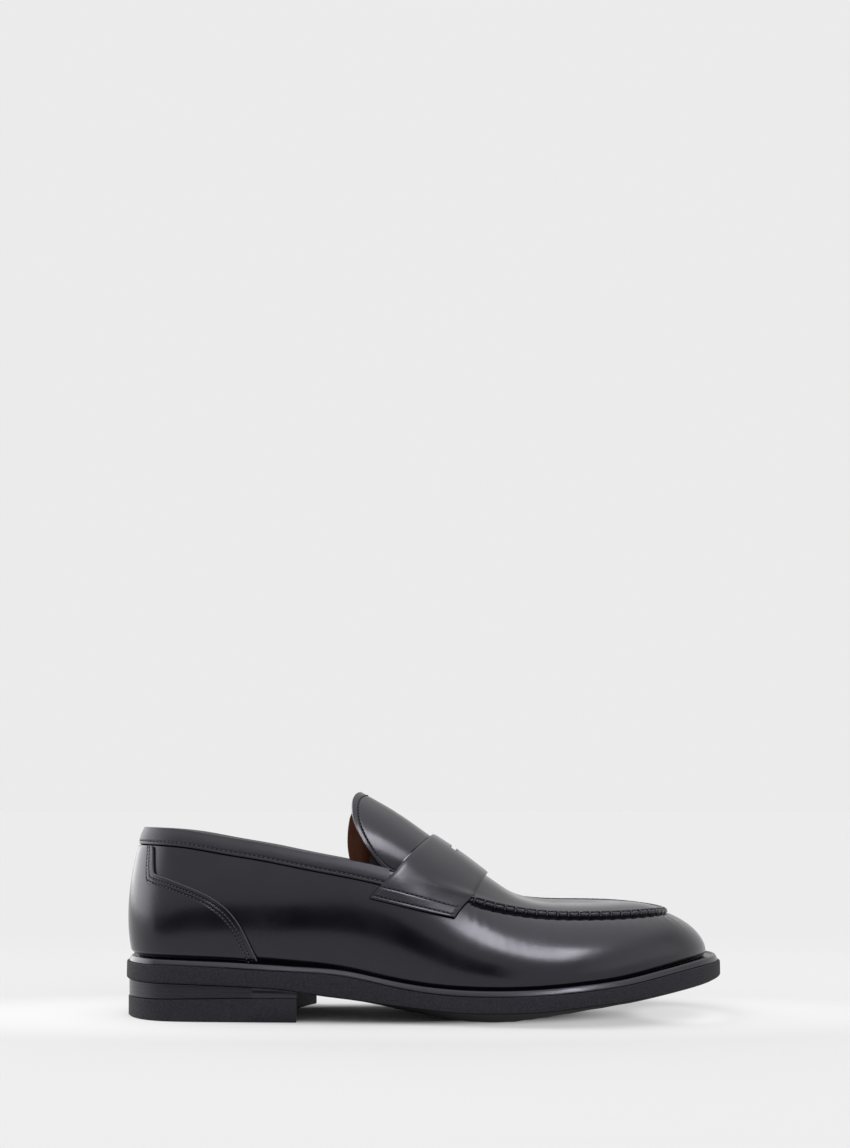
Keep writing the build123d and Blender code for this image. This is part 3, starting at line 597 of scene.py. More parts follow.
def leather(name, color):
    mat, tree, shader = base_material(name, color, 0.5, 0.35)
    cloud = texture(tree, "ShaderNodeTexNoise", 90, 5)
    dark = tuple(c * 0.8 for c in color)
    light = tuple(min(1, c * 1.25) for c in color)
    tint(tree, shader.inputs["Base Color"], cloud.outputs["Fac"], dark, light)
    fine = texture(tree, "ShaderNodeTexVoronoi", 1300)
    bump(tree, shader, fine.outputs["Distance"], 0.2, 0.0002)
    return mat


def ribbed(name):
    mat, tree, shader = base_material(name, (0.012, 0.012, 0.014), 0.8, 0.3)
    wave = texture(tree, "ShaderNodeTexWave", 420, 1)
    bump(tree, shader, wave.outputs["Fac"], 0.7, 0.0003)
    fuzz = texture(tree, "ShaderNodeTexNoise", 1400, 3)
    dark, light = (0.006, 0.006, 0.008), (0.03, 0.03, 0.034)
    tint(tree, shader.inputs["Base Color"], fuzz.outputs["Fac"], dark, light)
    return mat


CALF = calf("black_calf", 0.23, 0.10, 0.10)
COLLAR = calf("collar_calf", 0.40, 0.0, 0.25)
GRAIN = rubber("grained_rubber", 0.75, 0.7, 1500)
SMOOTH = smooth_edge("smooth_rubber")
# Darker copy of the sole rubber with almost no reflection: painted shade for the downward faces of the
# forepart's bevel.
UNDER_SHADE = rubber("sole_underside_shade", 0.5, 0.25, 900, (0.002, 0.002, 0.0025))
UNDER_SHADE.node_tree.nodes["Principled BSDF"].inputs["Specular IOR Level"].default_value = 0.04
BROWN = leather("brown_lining", (0.115, 0.042, 0.019))
ELASTIC = ribbed("elastic")
THREAD = rubber("black_thread", 0.42, 0.3, 2400, (0.036, 0.034, 0.040))
# Grey paint lighter than the calf for the foxing's top edge: a painted highlight.
EDGE_HIGHLIGHT = base_material("painted_edge_highlight", (0.05, 0.048, 0.055), 0.45)[0]
# Near-black paint for painted shade: needle-hole dots and the painted shadow strips under folded and
# overlapping edges.
PAINTED_SHADE = base_material("painted_shade_black", (0.001, 0.001, 0.001), 0.95, 0.02)[0]
BOARD = leather("board", (0.03, 0.022, 0.016))
CORK = rubber("filler", 0.85, 0.6, 300, (0.30, 0.20, 0.12))
STEEL, steel_tree, steel_shader = base_material("steel", (0.5, 0.5, 0.52), 0.35)
steel_shader.inputs["Metallic"].default_value = 1.0
steel_lines = texture(steel_tree, "ShaderNodeTexNoise", 500, 3, (0.1, 1, 1))
bump(steel_tree, steel_shader, steel_lines.outputs["Fac"], 0.2, 0.0002)

INSIDE = {"heel_stiffener": BOARD, "toe_puff": BOARD, "insole_board": BOARD, "bottom_filler": CORK,
          "shank": STEEL, "heel_nails": STEEL, "vamp_lining": BROWN, "apron_lining": BROWN,
          "strap_backing": CALF, "sock_liner": BROWN}
for node_name, mat in INSIDE.items():
    node = frame["nodes"][node_name]
    node.data.materials.clear()
    node.data.materials.append(mat)


def keep(obj, slot_name, *nodes, body="shoe"):
    """Puts a visual piece on its body in place of its CAD nodes."""
    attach(obj, body)
    if nodes:
        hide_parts(*nodes)
    return obj


def sewn(name, rows, node, body="shoe", radius=0.4):
    """Stitch rows with near-black discs at their needle holes, painted shade; rows are (starts, ends,
    normals).
    """
    starts, ends, ups = (np.concatenate([r[k] for r in rows]) for k in range(3))
    keep(threads(name + ".thread", starts, ends, ups, THREAD), "black_thread", node, body=body)
    places, holes_up = np.concatenate([starts, ends]), np.concatenate([ups, ups])
    keep(discs(name + ".hole_shade", places, holes_up, radius, PAINTED_SHADE), None, body=body)


# ------------ seam round the plug
SEAM_X = 19.0
SEAM_START, SEAM_END = float(u_at(SEAM_X, -1)), float(u_at(SEAM_X, 1))
SEAM_PITCH = 5.3


def seam_measure():
    u = np.linspace(SEAM_START, SEAM_END, 2001)
    line = wall(u, 1.0)
    return u, np.concatenate([[0], np.cumsum(np.linalg.norm(np.diff(line, axis=0), axis=1))])


SEAM_U, SEAM_S = seam_measure()


def seam_phase(u):
    """0 at a stitch, 0.5 half way between two."""
    s = np.interp(u, SEAM_U, SEAM_S) / SEAM_PITCH
    return np.abs(s - np.round(s))


def seam_frame(u):
    """Point on the seam, direction towards the plug, and outward direction."""
    here = wall(u, 1.0)
    n = wall_normal(u, 0.99)
    along = unit(wall(u + 0.001, 1.0) - wall(u - 0.001, 1.0))
    inward = unit(np.cross(n, along))
    middle = stack(np.clip(here[..., 0], 20, 100), 3.0, here[..., 2])
    return here, turned(inward, middle - here), n


def lip(name, centre, half, height, pinch):
    """One raised edge of the hand-sewn seam."""
    count, around = 1100, 26
    u = np.linspace(SEAM_START, SEAM_END, count)
    here, inward, n = seam_frame(u)
    w = np.linspace(0, 2 * math.pi, around, endpoint=False)
    cos = np.sign(np.cos(w)) * np.abs(np.cos(w)) ** 0.75
    sin = np.sign(np.sin(w)) * np.abs(np.sin(w)) ** 0.75
    d = seam_phase(u) * SEAM_PITCH
    draw = np.exp(-(d / 0.75) ** 2)
    grow = smooth((here[:, 0] - SEAM_X) / 7.0) * 0.55 + 0.45
    rise = height * grow * (1 - 0.16 * pinch * draw)
    wide = half * (1 - 0.42 * pinch * draw)
    run = np.interp(u, SEAM_U, SEAM_S)
    ripple = 0.10 * np.sin(run * 2.1) + 0.06 * np.sin(run * 5.7)
    t = centre + wide[:, None] * cos[None, :] + 0.25 * pinch * draw[:, None]
    up = -0.9 + (rise + 0.9 + ripple * pinch)[:, None] * (0.5 + 0.5 * sin[None, :])
    points = here[:, None] + inward[:, None] * t[..., None] + n[:, None] * up[..., None]
    return ring(name, points, CALF, closed=False, angle=80)


def near_seam(u):
    return smooth((wall(u, 1.0)[..., 0] - SEAM_X) / 8.0)


# ------------ upper
def wall_piece(a, b, out):
    u = 0.0015 + 0.997 * a
    v = -0.03 + 1.022 * b
    drop = (1 - v) * 30.0
    gather = np.where(out > -0.5, near_seam(u) * 0.22 * np.exp(-(drop / 4.0)), 0.0)
    lift = gather * np.cos(2 * math.pi * seam_phase(u))
    groove = -0.5 * near_seam(u) * np.exp(-((drop - 1.6) / 1.2) ** 2) * (np.asarray(out) > -0.5)
    here = wall(u, v)
    high = here[..., 2] - wall(u, 0.0)[..., 2]
    heel_share = smooth((-20.0 - here[..., 0]) / 60.0)
    depth, reach = 0.7 + 1.2 * heel_share, 0.7 + 1.3 * heel_share
    tuck = -depth * np.exp(-(np.maximum(high, 0) / reach) ** 2)
    return wall_at(u, v, out - lift + groove + tuck)


keep(sheet("side_wall.skin", wall_piece, 900, 70, -1.3, 0.0, CALF, 0.25), "black_calf", "side_wall")


def around_heel(a, x):
    start, end = float(u_at(x, -1)), float(u_at(x, 1))
    return np.mod(start + (end - 1 - start) * a, 1.0)


def foxing_piece(side):
    heel = 0.0003 if side < 0 else 0.9997

    def point(a, b, out):
        u = heel + (FOXING_END[side] - heel) * a
        top = foxing_top(u)
        v = FOXING_FOOT + (top - FOXING_FOOT) * b
        dent = 0.0
        for inset in FOXING_ROWS:
            miss = (v - foxing_top(u, inset)) * WALL_RUN
            dent = dent - 0.22 * np.exp(-(miss / 0.45) ** 2)
        high = wall(u, v)[..., 2] - wall(u, FOXING_FOOT)[..., 2]
        tuck = -1.1 * np.exp(-(high / 1.2) ** 2)
        return wall_at(u, v, out + tuck + np.where(np.asarray(out) > 1.0, dent, 0.0))
    return point


both = [sheet(f"heel_foxing.{n}", foxing_piece(s), 300, 170, 0.2, 1.4, CALF, 0.45)
        for n, s in (("outer", -1), ("inner", 1))]
keep(both[0], "black_calf", "heel_foxing")
keep(both[1], "black_calf")


def collar_sections():
    """Binding that starts on the outside, rolls over the edge and ends inside."""
    u = around_heel(np.linspace(0, 1, 500), -17.5)
    low = collar_low(u)
    top = wall(u, 1.0)
    n = wall_normal(u, 0.985)
    t = unit(wall(u, 1.0) - wall(u, 0.96))
    rows = []
    for b in np.linspace(0, 1, 26):
        v = low + (0.985 - low) * b
        crown = 0.45 * math.sin(math.pi * min(1, b * 1.02)) ** 0.8
        stitch_dip = 0.25 * math.exp(-((b - 0.19) / 0.07) ** 2)
        rows.append(wall_at(u, v, 1.15 + crown - stitch_dip))
    roll = []
    for w in np.linspace(0.15, 1, 9) * math.pi:
        roll.append(top + n * (3.2 * math.cos(w) - 1.9) + t * (1.25 * math.sin(w) - 0.3))
    inside = [wall_at(u, 0.985 - 0.05 * k, -5.05 + 0.15 * k) for k in range(0, 3)]
    back = [wall_at(u, 0.885, -3.8), wall_at(u, 0.97, -3.75)]
    under = [wall_at(u, 0.98, 0.12), wall_at(u, low + (0.98 - low) * 0.5, 0.12), wall_at(u, low, 0.12)]
    return np.stack(rows + roll + inside + back + under, axis=1)


keep(ring("collar_binding.roll", collar_sections(), COLLAR, closed=False, angle=50),
     "black_calf", "collar_binding")


def painted_shadow_line(name, u, v, width, out):
    """Black strip painted as the shadow in the corner under a folded edge."""
    n = wall_normal(u, v)
    down = unit(wall(u, v - 0.01) - wall(u, v))
    here = wall(u, v)
    square = [(-0.4, 0.02), (-0.4, out), (width, 0.10), (width, 0.02)]
    points = np.stack([here + down * d + n * o for d, o in square], axis=1)
    return ring(name, points, PAINTED_SHADE, closed=False, angle=30)


def collar_painted_shadow():
    u = around_heel(np.linspace(0, 1, 400), -20.0)
    return painted_shadow_line("collar_binding.painted_shadow", u, collar_low(u), 0.55, 0.9)


# Painted shadow line under the collar binding's lower edge.
keep(collar_painted_shadow(), None)


def lining_piece(a, b, out):
    return wall_at(around_heel(a, -9.0), 0.02 + 0.965 * b, out)


keep(sheet("quarter_lining.skin", lining_piece, 300, 30, -3.7, -2.7, BROWN, 0.2),
     "brown_lining", "quarter_lining")


def plug_piece(a, b, out):
    share = 0.972 * (2 * b - 1)
    back = strap_rear(STRAP_EDGE * np.abs(share)) + 3.0
    x = back + (122.3 - back) * (1 - (1 - a) ** 2)
    edge_gap = (0.985 - np.abs(share)) * 30.0
    tip_gap = np.maximum(123.0 - x, 0.0)
    gap = np.minimum(edge_gap, tip_gap * 1.4)
    rise = 1.2 * np.exp(-(gap / 1.8) ** 2) * smooth((x - SEAM_X) / 8)
    return over(arch, x, share, np.broadcast_to(out, x.shape) + rise * (np.asarray(out) > -0.5))


keep(sheet("apron.skin", plug_piece, 260, 150, -1.3, 0.0, CALF, 0.25), "black_calf", "apron")
keep(lip("apron_seam.outer_lip", -0.95, 0.9, 1.9, 1.0), "black_calf")
keep(lip("apron_seam.inner_lip", 0.8, 0.75, 2.3, 0.15), "black_calf")


def seam_threads():
    count = int(SEAM_S[-1] / SEAM_PITCH)
    u = np.interp(np.arange(1, count) * SEAM_PITCH, SEAM_S, SEAM_U)
    here, inward, n = seam_frame(u)
    low = here - inward * 1.85 + n * 0.2
    high = here - inward * 1.2 + n * 1.6
    top = here + inward * 0.7 + n * 2.15
    starts, ends = np.concatenate([high, low]), np.concatenate([top, high])
    ups = np.concatenate([n, -inward])
    return threads("apron_seam_thread.stitches", starts, ends, ups, THREAD, 0.75, 0.5, 0.1)


keep(seam_threads(), "black_thread", "apron_seam_thread")


# ------------ strap
def strap_piece(a, b, out):
    c = 2 * b - 1
    girth = np.abs(c)
    high = np.asarray(out) > 1.0
    over_seam = 0.9 * np.exp(-((girth - STRAP_EDGE) / 0.045) ** 2) * smooth((a - 0.2) / 0.8)
    edge = -0.25 * (np.exp(-(a / 0.03) ** 2) + np.exp(-((1 - a) / 0.03) ** 2))
    ripple = 0.03 * np.sin(a * 17 + c * 9) * smooth((girth - 0.7) / 0.12)
    ripple = ripple * smooth((0.95 - girth) / 0.1)
    seam_dip = -0.22 * sum(np.exp(-((girth - place) / 0.005) ** 2) for place in STRAP_ROWS)
    extra = np.where(high, over_seam + edge + ripple + seam_dip, over_seam)
    return strap_point(a, c, np.broadcast_to(out, c.shape) + extra)


def cut_slot(obj):
    """Cuts the slot and its two rounded ends through the strap."""
    here = over(arch, np.array([SLOT_X]), np.array([0.0]), 1.0)[0]
    ahead = over(arch, np.array([SLOT_X + 2.0]), np.array([0.0]), 1.0)[0] - here
    x_dir = Vector(ahead).normalized()
    z_dir = Vector((-ahead[2], 0, ahead[0])).normalized()
    y_dir = z_dir.cross(x_dir)
    rim = []
    for k in range(64):
        w = 2 * math.pi * k / 64
        y = 11.0 * math.sin(w)
        narrow = 1.55 + 0.75 * smooth((abs(y) - 6.0) / 2.5)
        reach = max(-1.0, min(1.0, math.cos(w) * 3.0))
        cap = math.sqrt(max(0.0, 1 - max(0.0, (abs(y) - 8.7) / 2.3) ** 2))
        rim.append((float(narrow) * reach * cap, y))
    points = np.array([tuple(Vector(here) + x_dir * px + y_dir * py + z_dir * z)
                       for z in (-4.0, 6.0) for px, py in rim])
    faces = tube_faces(0, len(rim), 1)
    cutter = fix_normals(mesh_object("slot_cutter", points, faces, CALF))
    mod = obj.modifiers.new("slot", "BOOLEAN")
    mod.operation = "DIFFERENCE"
    mod.solver = "EXACT"
    mod.object = cutter
    bpy.context.view_layer.update()
    made = bpy.data.meshes.new_from_object(obj.evaluated_get(bpy.context.evaluated_depsgraph_get()))
    obj.modifiers.clear()
    obj.data = made
    bpy.data.objects.remove(cutter)
    made.polygons.foreach_set("use_smooth", [True] * len(made.polygons))
    made.set_sharp_from_angle(angle=math.radians(38))
    return obj


strap = sheet("saddle_strap.skin", strap_piece, 60, 300, 0.6, STRAP_OUT, CALF, 0.35)
keep(cut_slot(strap), "black_calf", "saddle_strap")


def strap_rows():
    rows = []
    low_row, top_row = STRAP_ROWS
    for side in (-1, 1):
        lines = [((0.06, low_row), (0.95, low_row), 17), ((0.06, top_row), (0.95, top_row), 16),
                 ((0.055, 0.962), (0.055, 0.900), 2), ((0.95, 0.962), (0.95, 0.900), 2)]
        for (a0, c0), (a1, c1), count in lines:
            def path(t):
                return strap_point(a0 + (a1 - a0) * t, side * (c0 + (c1 - c0) * t), STRAP_OUT)

            def out(t):
                a, c = a0 + (a1 - a0) * t, side * (c0 + (c1 - c0) * t)
                return unit(strap_point(a, c, STRAP_OUT + 1) - strap_point(a, c, STRAP_OUT))
            rows.append(row(path, count, 1.7, out, -0.12))
    return rows


sewn("strap_stitching", strap_rows(), "strap_stitching")


# ------------ tongue and gores
def inner_extra(share):
    """How much further back the inner wing reaches than the outer one."""
    return 19.0 * np.maximum(0, (share - 0.4) / 0.6) ** 1.35


def tongue_point(a, b, out, trim=0.0):
    share = (2 * b - 1) * (1 - 0.5 * trim / TONGUE_WING_Y)
    girth = np.abs(share)
    front = strap_rear(STRAP_EDGE * girth) - 0.8 - 2.2 * girth ** 3 + 8.5 * girth ** 12
    rear = tongue_end(girth) + trim - inner_extra(share)
    x = front + (rear - front) * a
    return over(tongue_arch, x, share, np.broadcast_to(out, x.shape))


def tongue_piece(a, b, out):
    share = np.abs(2 * b - 1)
    front = strap_rear(STRAP_EDGE * share) - 0.8
    reach = (front - tongue_end(share) + inner_extra(2 * b - 1)) * (1 - a)
    dip = np.where(np.asarray(out) > -0.5, -0.22 * np.exp(-((reach - 3.0) / 0.5) ** 2), 0)
    return tongue_point(a, b, out + dip)


def tongue_lining_piece(a, b, out):
    return tongue_point(a, b, out, 0.25)


keep(sheet("tongue_upper.skin", tongue_piece, 120, 160, -1.3, 0.0, CALF, 0.4),
     "black_calf", "tongue_upper", body="tongue")
keep(sheet("tongue_lining.skin", tongue_lining_piece, 40, 120, -2.4, -1.4, BROWN, 0.3),
     "brown_lining", "tongue_lining", body="tongue")


def tongue_row():
    def path(t):
        return tongue_point(np.ones_like(t), 0.03 + 0.94 * t, 0.0, 3.0)

    def out(t):
        return unit(tongue_point(np.ones_like(t), 0.03 + 0.94 * t, 1.0, 3.0) - path(t))
    return [row(path, 48, 1.3, out, -0.1)]


sewn("tongue_stitching", tongue_row(), "tongue_stitching", body="tongue")


def gore_piece(side):
    def point(a, b, out):
        x = -11.0 - 18.5 * a
        u = u_at(x, side)
        low = wall_at(u, v_at(u, 67.0 - 0.2 * (x + 15)), -4.1)
        high = over(tongue_arch, x + 2.5, np.full(x.shape, side * 0.9), np.full(x.shape, -4.4))
        bend = stack(0.5 * (low[..., 0] + high[..., 0]), high[..., 1] + side * 2.0, low[..., 2] + 0.6)
        t = b[..., None]
        p = (1 - t) ** 2 * low + 2 * t * (1 - t) * bend + t * t * high
        return p - stack(0, side * np.asarray(out), 0)
    return point


for node_name, s in (("gore_lateral", -1), ("gore_medial", 1)):
    gore = sheet(node_name + ".skin", gore_piece(s), 30, 16, 0.0, 0.8, ELASTIC, 0.15)
    keep(gore, "elastic", node_name)


# ------------ collar and foxing stitches
def collar_row():
    def uv(t):
        u = around_heel(t, -20.5)
        return u, v_at(u, COLUMNS[4](u) - COLLAR_HEIGHT + 1.5)

    def path(t):
        return wall_at(*uv(t), 1.22)
    return [row(path, 118, 1.6, lambda t: wall_normal(*uv(t)))]


sewn("collar_stitching", collar_row(), "collar_stitching", radius=0.38)


def foxing_rows():
    rows = []
    for side in (-1, 1):
        for inset in FOXING_ROWS:
            def uv(t):
                start = FOXING_NOTCH - FOXING_RAMP - inset / GIRTH + 0.0004
                turn = start + (0.118 - start) * t
                u = turn if side < 0 else 1 - turn
                return u, foxing_top(u, inset)
            rows.append(row(lambda t: wall_at(*uv(t), 1.25), 48, 1.3, lambda t: wall_normal(*uv(t))))
    return rows


sewn("foxing_stitching", foxing_rows(), "foxing_stitching", radius=0.42)


# ------------ edges of the overlays, with painted highlights and painted shadows
def edge_strip(name, path, normals, middle, section, material):
    """Thin strip along a cut edge, used for painted highlights and painted shadows; the section holds
    (away from the piece, out) pairs.
    """
    along = unit(np.gradient(path, axis=0))
    away = turned(np.cross(normals, along), path - middle)
    points = np.stack([path + away * d + normals * o for d, o in section], axis=1)
    keep(ring(name, points, material, closed=False, angle=50), None)


# Lighter strip on the foxing's top edge, a painted highlight.
def foxing_edge(side, name):
    end = FOXING_END[-1] if side < 0 else 1 - FOXING_END[1]
    turn = np.linspace(FOXING_NOTCH - FOXING_RAMP + 0.0006, end - 0.0006, 400)
    u = turn if side < 0 else 1 - turn
    middle = wall(np.array(0.02 if side < 0 else 0.98), np.array(0.3))
    section = [(-0.4, 1.3), (-0.3, 1.46), (0.0, 1.46), (0.18, 1.2), (0.18, 0.6), (-0.4, 0.6)]
    top = foxing_top(u)
    edge_strip(name, wall_at(u, top), wall_normal(u, top), middle, section, EDGE_HIGHLIGHT)


foxing_edge(-1, "heel_foxing.edge_highlight_outer")
foxing_edge(1, "heel_foxing.edge_highlight_inner")


def strap_shadow(side, name):
    """Black strips painted as the shadow in the corner where the end of the strap meets the quarter.
    """
    t = np.linspace(0, 1, 120)
    section = [(-0.4, 0.05), (-0.4, 0.6), (0.05, 0.6), (0.45, 0.1), (0.45, 0.02)]
    down, full = 0.76 + 0.24 * t, 0 * t + 1
    for k, (a, c) in enumerate(((0 * t, down), (t, full), (full, down))):
        path = strap_point(a, side * c, 0.0)
        normals = unit(strap_point(a, side * c, 1.0) - path)
        middle = strap_point(np.array([0.5]), np.array([side * 0.86]), 0.0)
        edge_strip(f"{name}_{k}", path, normals, middle, section, PAINTED_SHADE)


strap_shadow(-1, "saddle_strap.painted_shadow_outer")
strap_shadow(1, "saddle_strap.painted_shadow_inner")


# ------------ bottom
OUTLINE_COUNT = 900


def outline(inset, count, overhang=1.0):
    """Plan points inside the sole edge, or inside the feather line if overhang is 0."""
    u = np.linspace(0, 1, count, endpoint=False)
    x, y, nx, ny = feather(u)
    reach = overhang * COLUMNS[9](u) - inset
    return x + nx * reach, y + ny * reach


def layered(name, levels, material, angle, overhang=1.0):
    """Closed solid from outline levels, each (inset, height function)."""
    rings = []
    for inset, height in levels:
        x, y = outline(inset, OUTLINE_COUNT, overhang)
        rings.append(stack(x, y, height(x)))
    return ring(name, np.stack(rings, axis=1), material, angle=angle)


def level(line, shift):
    return lambda x: line(x) + shift


def between(share):
    """Height at a share of the way from the sole's top to the rand's top."""
    return lambda x: sole_top(x) + share * (rand_top(x) - sole_top(x))


RAND_LEVELS = [(9.0, level(sole_top, 0.05)), (1.7, level(sole_top, 0.05)), (1.25, between(0.08)),
               (1.3, between(0.2)), (1.6, between(0.4)), (2.0, between(0.65)), (2.35, between(0.87)),
               (2.75, between(0.98)), (3.2, level(rand_top, 0.0)), (3.6, level(rand_top, -0.2)),
               (4.1, level(rand_top, -0.7)), (9.0, level(rand_top, -0.8))]
keep(layered("rand.strip", RAND_LEVELS, SMOOTH, angle=75), "smooth_rubber", "rand")


def side_height(share):
    """Height at a share of the way down the sole's side."""
    return lambda x: sole_top(x) - 0.8 + (sole_edge(x) + 0.8 - sole_top(x)) * share


def sole_sections():
    """Grained side, smooth bevel and flat tread, in rings that close in the middle."""
    sides = [(12.0, level(sole_top, -0.4)), (2.6, level(sole_top, 0.0)), (0.5, level(sole_top, 0.0)),
             (0.15, level(sole_top, -0.2)), (0.0, level(sole_top, -0.8))]
    for k in (0.3, 0.6, 0.9):
        sides.append((-0.15 * k, side_height(k)))
    sides += [(0.0, level(sole_edge, 0.35)), (0.3, level(sole_edge, 0.05))]
    for inset in (0.9, 2.0, 3.5, 5.0, 7.0, 9.0, 11.0, 13.5, 16.0):
        sides.append((inset, bevel(inset)))
    return sides


def bevel(inset):
    """Height of the underside at a distance inside the edge; flat at the heel seat."""
    def height(x):
        slope = sole_edge(x) - 0.44 * (inset - 0.3)
        low = np.maximum(slope, tread_line(x))
        return sole_edge(x) + (low - sole_edge(x)) * smooth((x + 60.0) / 8.0)
    return height


def sole_mesh():
    count = OUTLINE_COUNT
    rings = []
    for inset, height in sole_sections():
        x, y = outline(inset, count)
        rings.append(stack(x, y, height(x)))
    sections = np.stack(rings, axis=1)
    around = sections.shape[1]
    index = np.arange(count * around).reshape(count, around)
    after = np.roll(index, -1, axis=0)
    quads = np.stack([index[:, :-1], index[:, 1:], after[:, 1:], after[:, :-1]], -1)
    faces = quads.reshape(-1, 4).tolist()
    for column, flip in ((0, 1), (around - 1, -1)):
        for i in range(count // 2):
            j = count - 1 - i
            if j - i <= 1:
                continue
            quad = [index[i, column], index[i + 1, column], index[j - 1, column], index[j, column]]
            quad = list(dict.fromkeys(int(q) for q in quad))
            if len(quad) > 2:
                faces.append(quad[::flip])
    return fix_normals(mesh_object("sole_unit.body", sections, faces, GRAIN, 0.0, 32))


sole = sole_mesh()
sole.data.materials.append(UNDER_SHADE)
# Downward faces of the bevel, from the waist forward, take the darker copy: painted shade.
for face in sole.data.polygons:
    c = face.center
    edge = float(sole_edge(c.x * 1000))
    if c.z * 1000 < edge + 0.3 and c.x > -0.060 and face.normal.z < -0.25:
        face.material_index = 1
keep(sole, "grained_rubber", "sole_unit")


BREAST_X, BREAST_Y, BREAST_RADIUS = 3.5, -6.2, 72.0


def breast(y):
    """Line of the hollow heel front."""
    return BREAST_X - np.sqrt(BREAST_RADIUS ** 2 - (y - BREAST_Y) ** 2)


def heel_block(name, inset, low, high, material):
    """Heel layer with its hollow breast."""
    x, y = outline(inset, 1400)
    inside = x < breast(y)
    order = np.argsort(np.where(inside, np.arctan2(y, -(x + 100.0)), 9))
    order = order[:int(inside.sum())]
    px, py = x[order], y[order]
    front = np.linspace(py[-1], py[0], 60)[1:-1]
    px = np.concatenate([px, breast(front)])
    py = np.concatenate([py, front])
    heights = [(0.5, low, 0.0), (0.0, low, 0.5), (0.0, high, -0.5), (0.5, high, 0.0)]
    rings = []
    cx, cy = px.mean(), py.mean()
    away = np.hypot(px - cx, py - cy)
    for pull, line, shift in heights:
        qx = px - (px - cx) / away * pull
        qy = py - (py - cy) / away * pull
        rings.append(stack(qx, qy, line(qx) + shift))
    faces = tube_faces(0, len(px), 3)
    return fix_normals(mesh_object(name, np.concatenate(rings), faces, material, 0.0, 40))



def flat(x):
    return np.zeros_like(np.asarray(x, float))


stack_low, stack_high = level(lift_top, 0.05), level(sole_edge, -0.02)
keep(heel_block("heel_stack.block", 1.2, stack_low, stack_high, SMOOTH),
     "smooth_rubber", "heel_stack")
keep(heel_block("top_lift.block", 0.8, flat, lift_top, GRAIN), "grained_rubber", "top_lift")

# Sock: distance inside the feather line, and height over the rand's top
SOCK_LEVELS = [(5.3, 2.9), (4.7, 4.0), (5.3, 4.4), (10.0, 4.35), (18.0, 4.3), (18.0, 2.9)]
sock_levels = [(inset, level(rand_top, rise)) for inset, rise in SOCK_LEVELS]
keep(layered("sock_liner.pad", sock_levels, BROWN, angle=60, overhang=0.0), "brown_lining")


# ------------ studio
def plus(tree, first, second):
    node = tree.nodes.new("ShaderNodeMath")
    node.operation = "ADD"
    tree.links.new(first, node.inputs[0])
    tree.links.new(second, node.inputs[1])
    return node.outputs["Value"]


def world():
    """Even pale studio with a bright ceiling and a bright screen behind the heel."""
    w = bpy.data.worlds.new("studio")
    w.use_nodes = True
    tree = w.node_tree
    back = tree.nodes["Background"]
    where = tree.nodes.new("ShaderNodeTexCoord")
    split = tree.nodes.new("ShaderNodeSeparateXYZ")
    tree.links.new(where.outputs["Generated"], split.inputs["Vector"])
    light = ramp(tree, split.outputs["Z"], 0.50, 0.95, 0.831, 1.75)
    for towards, start, end, extra in (((-0.93, 0.37, 0.05), 0.66, 0.93, 2.8),
                                       ((0.80, -0.58, 0.12), 0.70, 0.96, 0.5)):
        dot = tree.nodes.new("ShaderNodeVectorMath")
        dot.operation = "DOT_PRODUCT"
        dot.inputs[1].default_value = Vector(towards).normalized()
        tree.links.new(where.outputs["Generated"], dot.inputs[0])
        light = plus(tree, light, ramp(tree, dot.outputs["Value"], start, end, 0.0, extra))
    tree.links.new(light, back.inputs["Strength"])
    back.inputs["Color"].default_value = (1, 1, 1, 1)
    bpy.context.scene.world = w


world()

floor_mat, floor_tree, floor_shader = base_material("pale_floor", (0.36, 0.36, 0.36), 0.9, 0.0)
floor_shader.inputs["Emission Color"].default_value = (1, 1, 1, 1)


def quad(name, corners, mat):
    mesh = bpy.data.meshes.new(name)
    mesh.from_pydata(corners, [], [[0, 1, 2, 3]])
    mesh.materials.append(mat)
    obj = bpy.data.objects.new(name, mesh)
    bpy.context.scene.collection.objects.link(obj)
    return obj


def distance(move, stretch):
    """Length of the floor position after a stretch and a move."""
    size = floor_tree.nodes.new("ShaderNodeVectorMath")
    size.operation = "LENGTH"
    floor_tree.links.new(placed(floor_tree, stretch, move), size.inputs[0])
    return size.outputs["Value"]


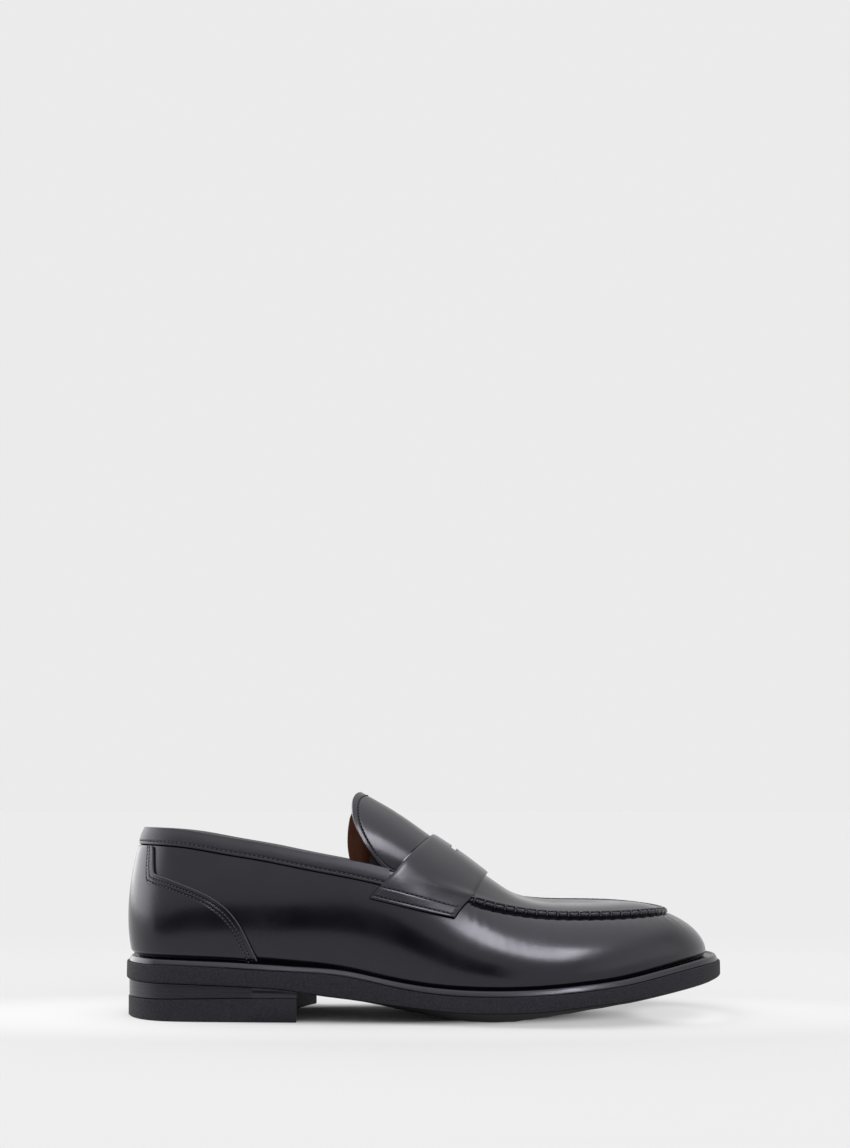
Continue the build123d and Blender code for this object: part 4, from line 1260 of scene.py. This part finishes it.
def floor_glow():
    """Glow of the floor, even far off; it fades out under the shoe, a painted shadow, and rises round
    the toe, painted light that lifts the toe's shadow.
    """
    size = distance((0.16, 0.16, 0.0), (7.6, 25.0, 0.0))
    # Glow that fades out in an oval under the shoe: painted shadow.
    near = ramp(floor_tree, size, 0.55, 1.05, 0.0, 0.47)
    far = ramp(floor_tree, size, 1.2, 2.4, 0.0, -0.13)
    further = ramp(floor_tree, size, 4.0, 12.0, 0.0, -0.03)
    toe = distance((-4.25, 0.15, 0.0), (33.0, 26.0, 0.0))
    # Extra glow round the toe: painted light over the toe's shadow.
    under_toe = ramp(floor_tree, toe, 0.45, 1.05, 0.17, 0.0)
    total = plus(floor_tree, plus(floor_tree, near, far), plus(floor_tree, further, under_toe))
    floor_tree.links.new(total, floor_shader.inputs["Emission Strength"])


floor_glow()
floor = quad("floor", [(-40, -40, 0), (40, -40, 0), (40, 40, 0), (-40, 40, 0)], floor_mat)


def panel(name, corners, mat):
    """Studio panel that only reflections can see."""
    obj = quad(name, corners, mat)
    obj.visible_camera = False
    obj.visible_diffuse = False
    obj.visible_shadow = False


def soft_box():
    mat, _, shader = base_material("soft_box", (0, 0, 0), 1.0, 0.0)
    shader.inputs["Emission Color"].default_value = (1, 1, 1, 1)
    shader.inputs["Emission Strength"].default_value = 16.0
    centre = Vector((0.200, -1.068, 1.124))
    long, short = Vector((0.398, 0.729, 0.559)) * 0.30, Vector((-0.908, 0.212, 0.371)) * 0.15
    signs = ((-1, -1), (1, -1), (1, 1), (-1, 1))
    panel("soft_box", [tuple(centre + long * i + short * j) for i, j in signs], mat)


soft_box()
panel("flag", [(-0.45, -0.175, 0), (0.02, -0.175, 0), (0.02, -0.175, 0.06), (-0.45, -0.175, 0.06)],
      base_material("black_flag", (0.01, 0.01, 0.012), 0.9, 0.0)[0])

camera_data = bpy.data.cameras.new("camera")
camera_data.lens = 42.68
camera_data.sensor_width = 36.0
camera_data.shift_y = 0.2038
camera = bpy.data.objects.new("camera", camera_data)
camera.location = (0.0, -0.700, 0.105)
camera.rotation_euler = (math.radians(90), 0, 0)
bpy.context.scene.collection.objects.link(camera)
bpy.context.scene.camera = camera
bpy.context.scene.view_settings.view_transform = "Standard"
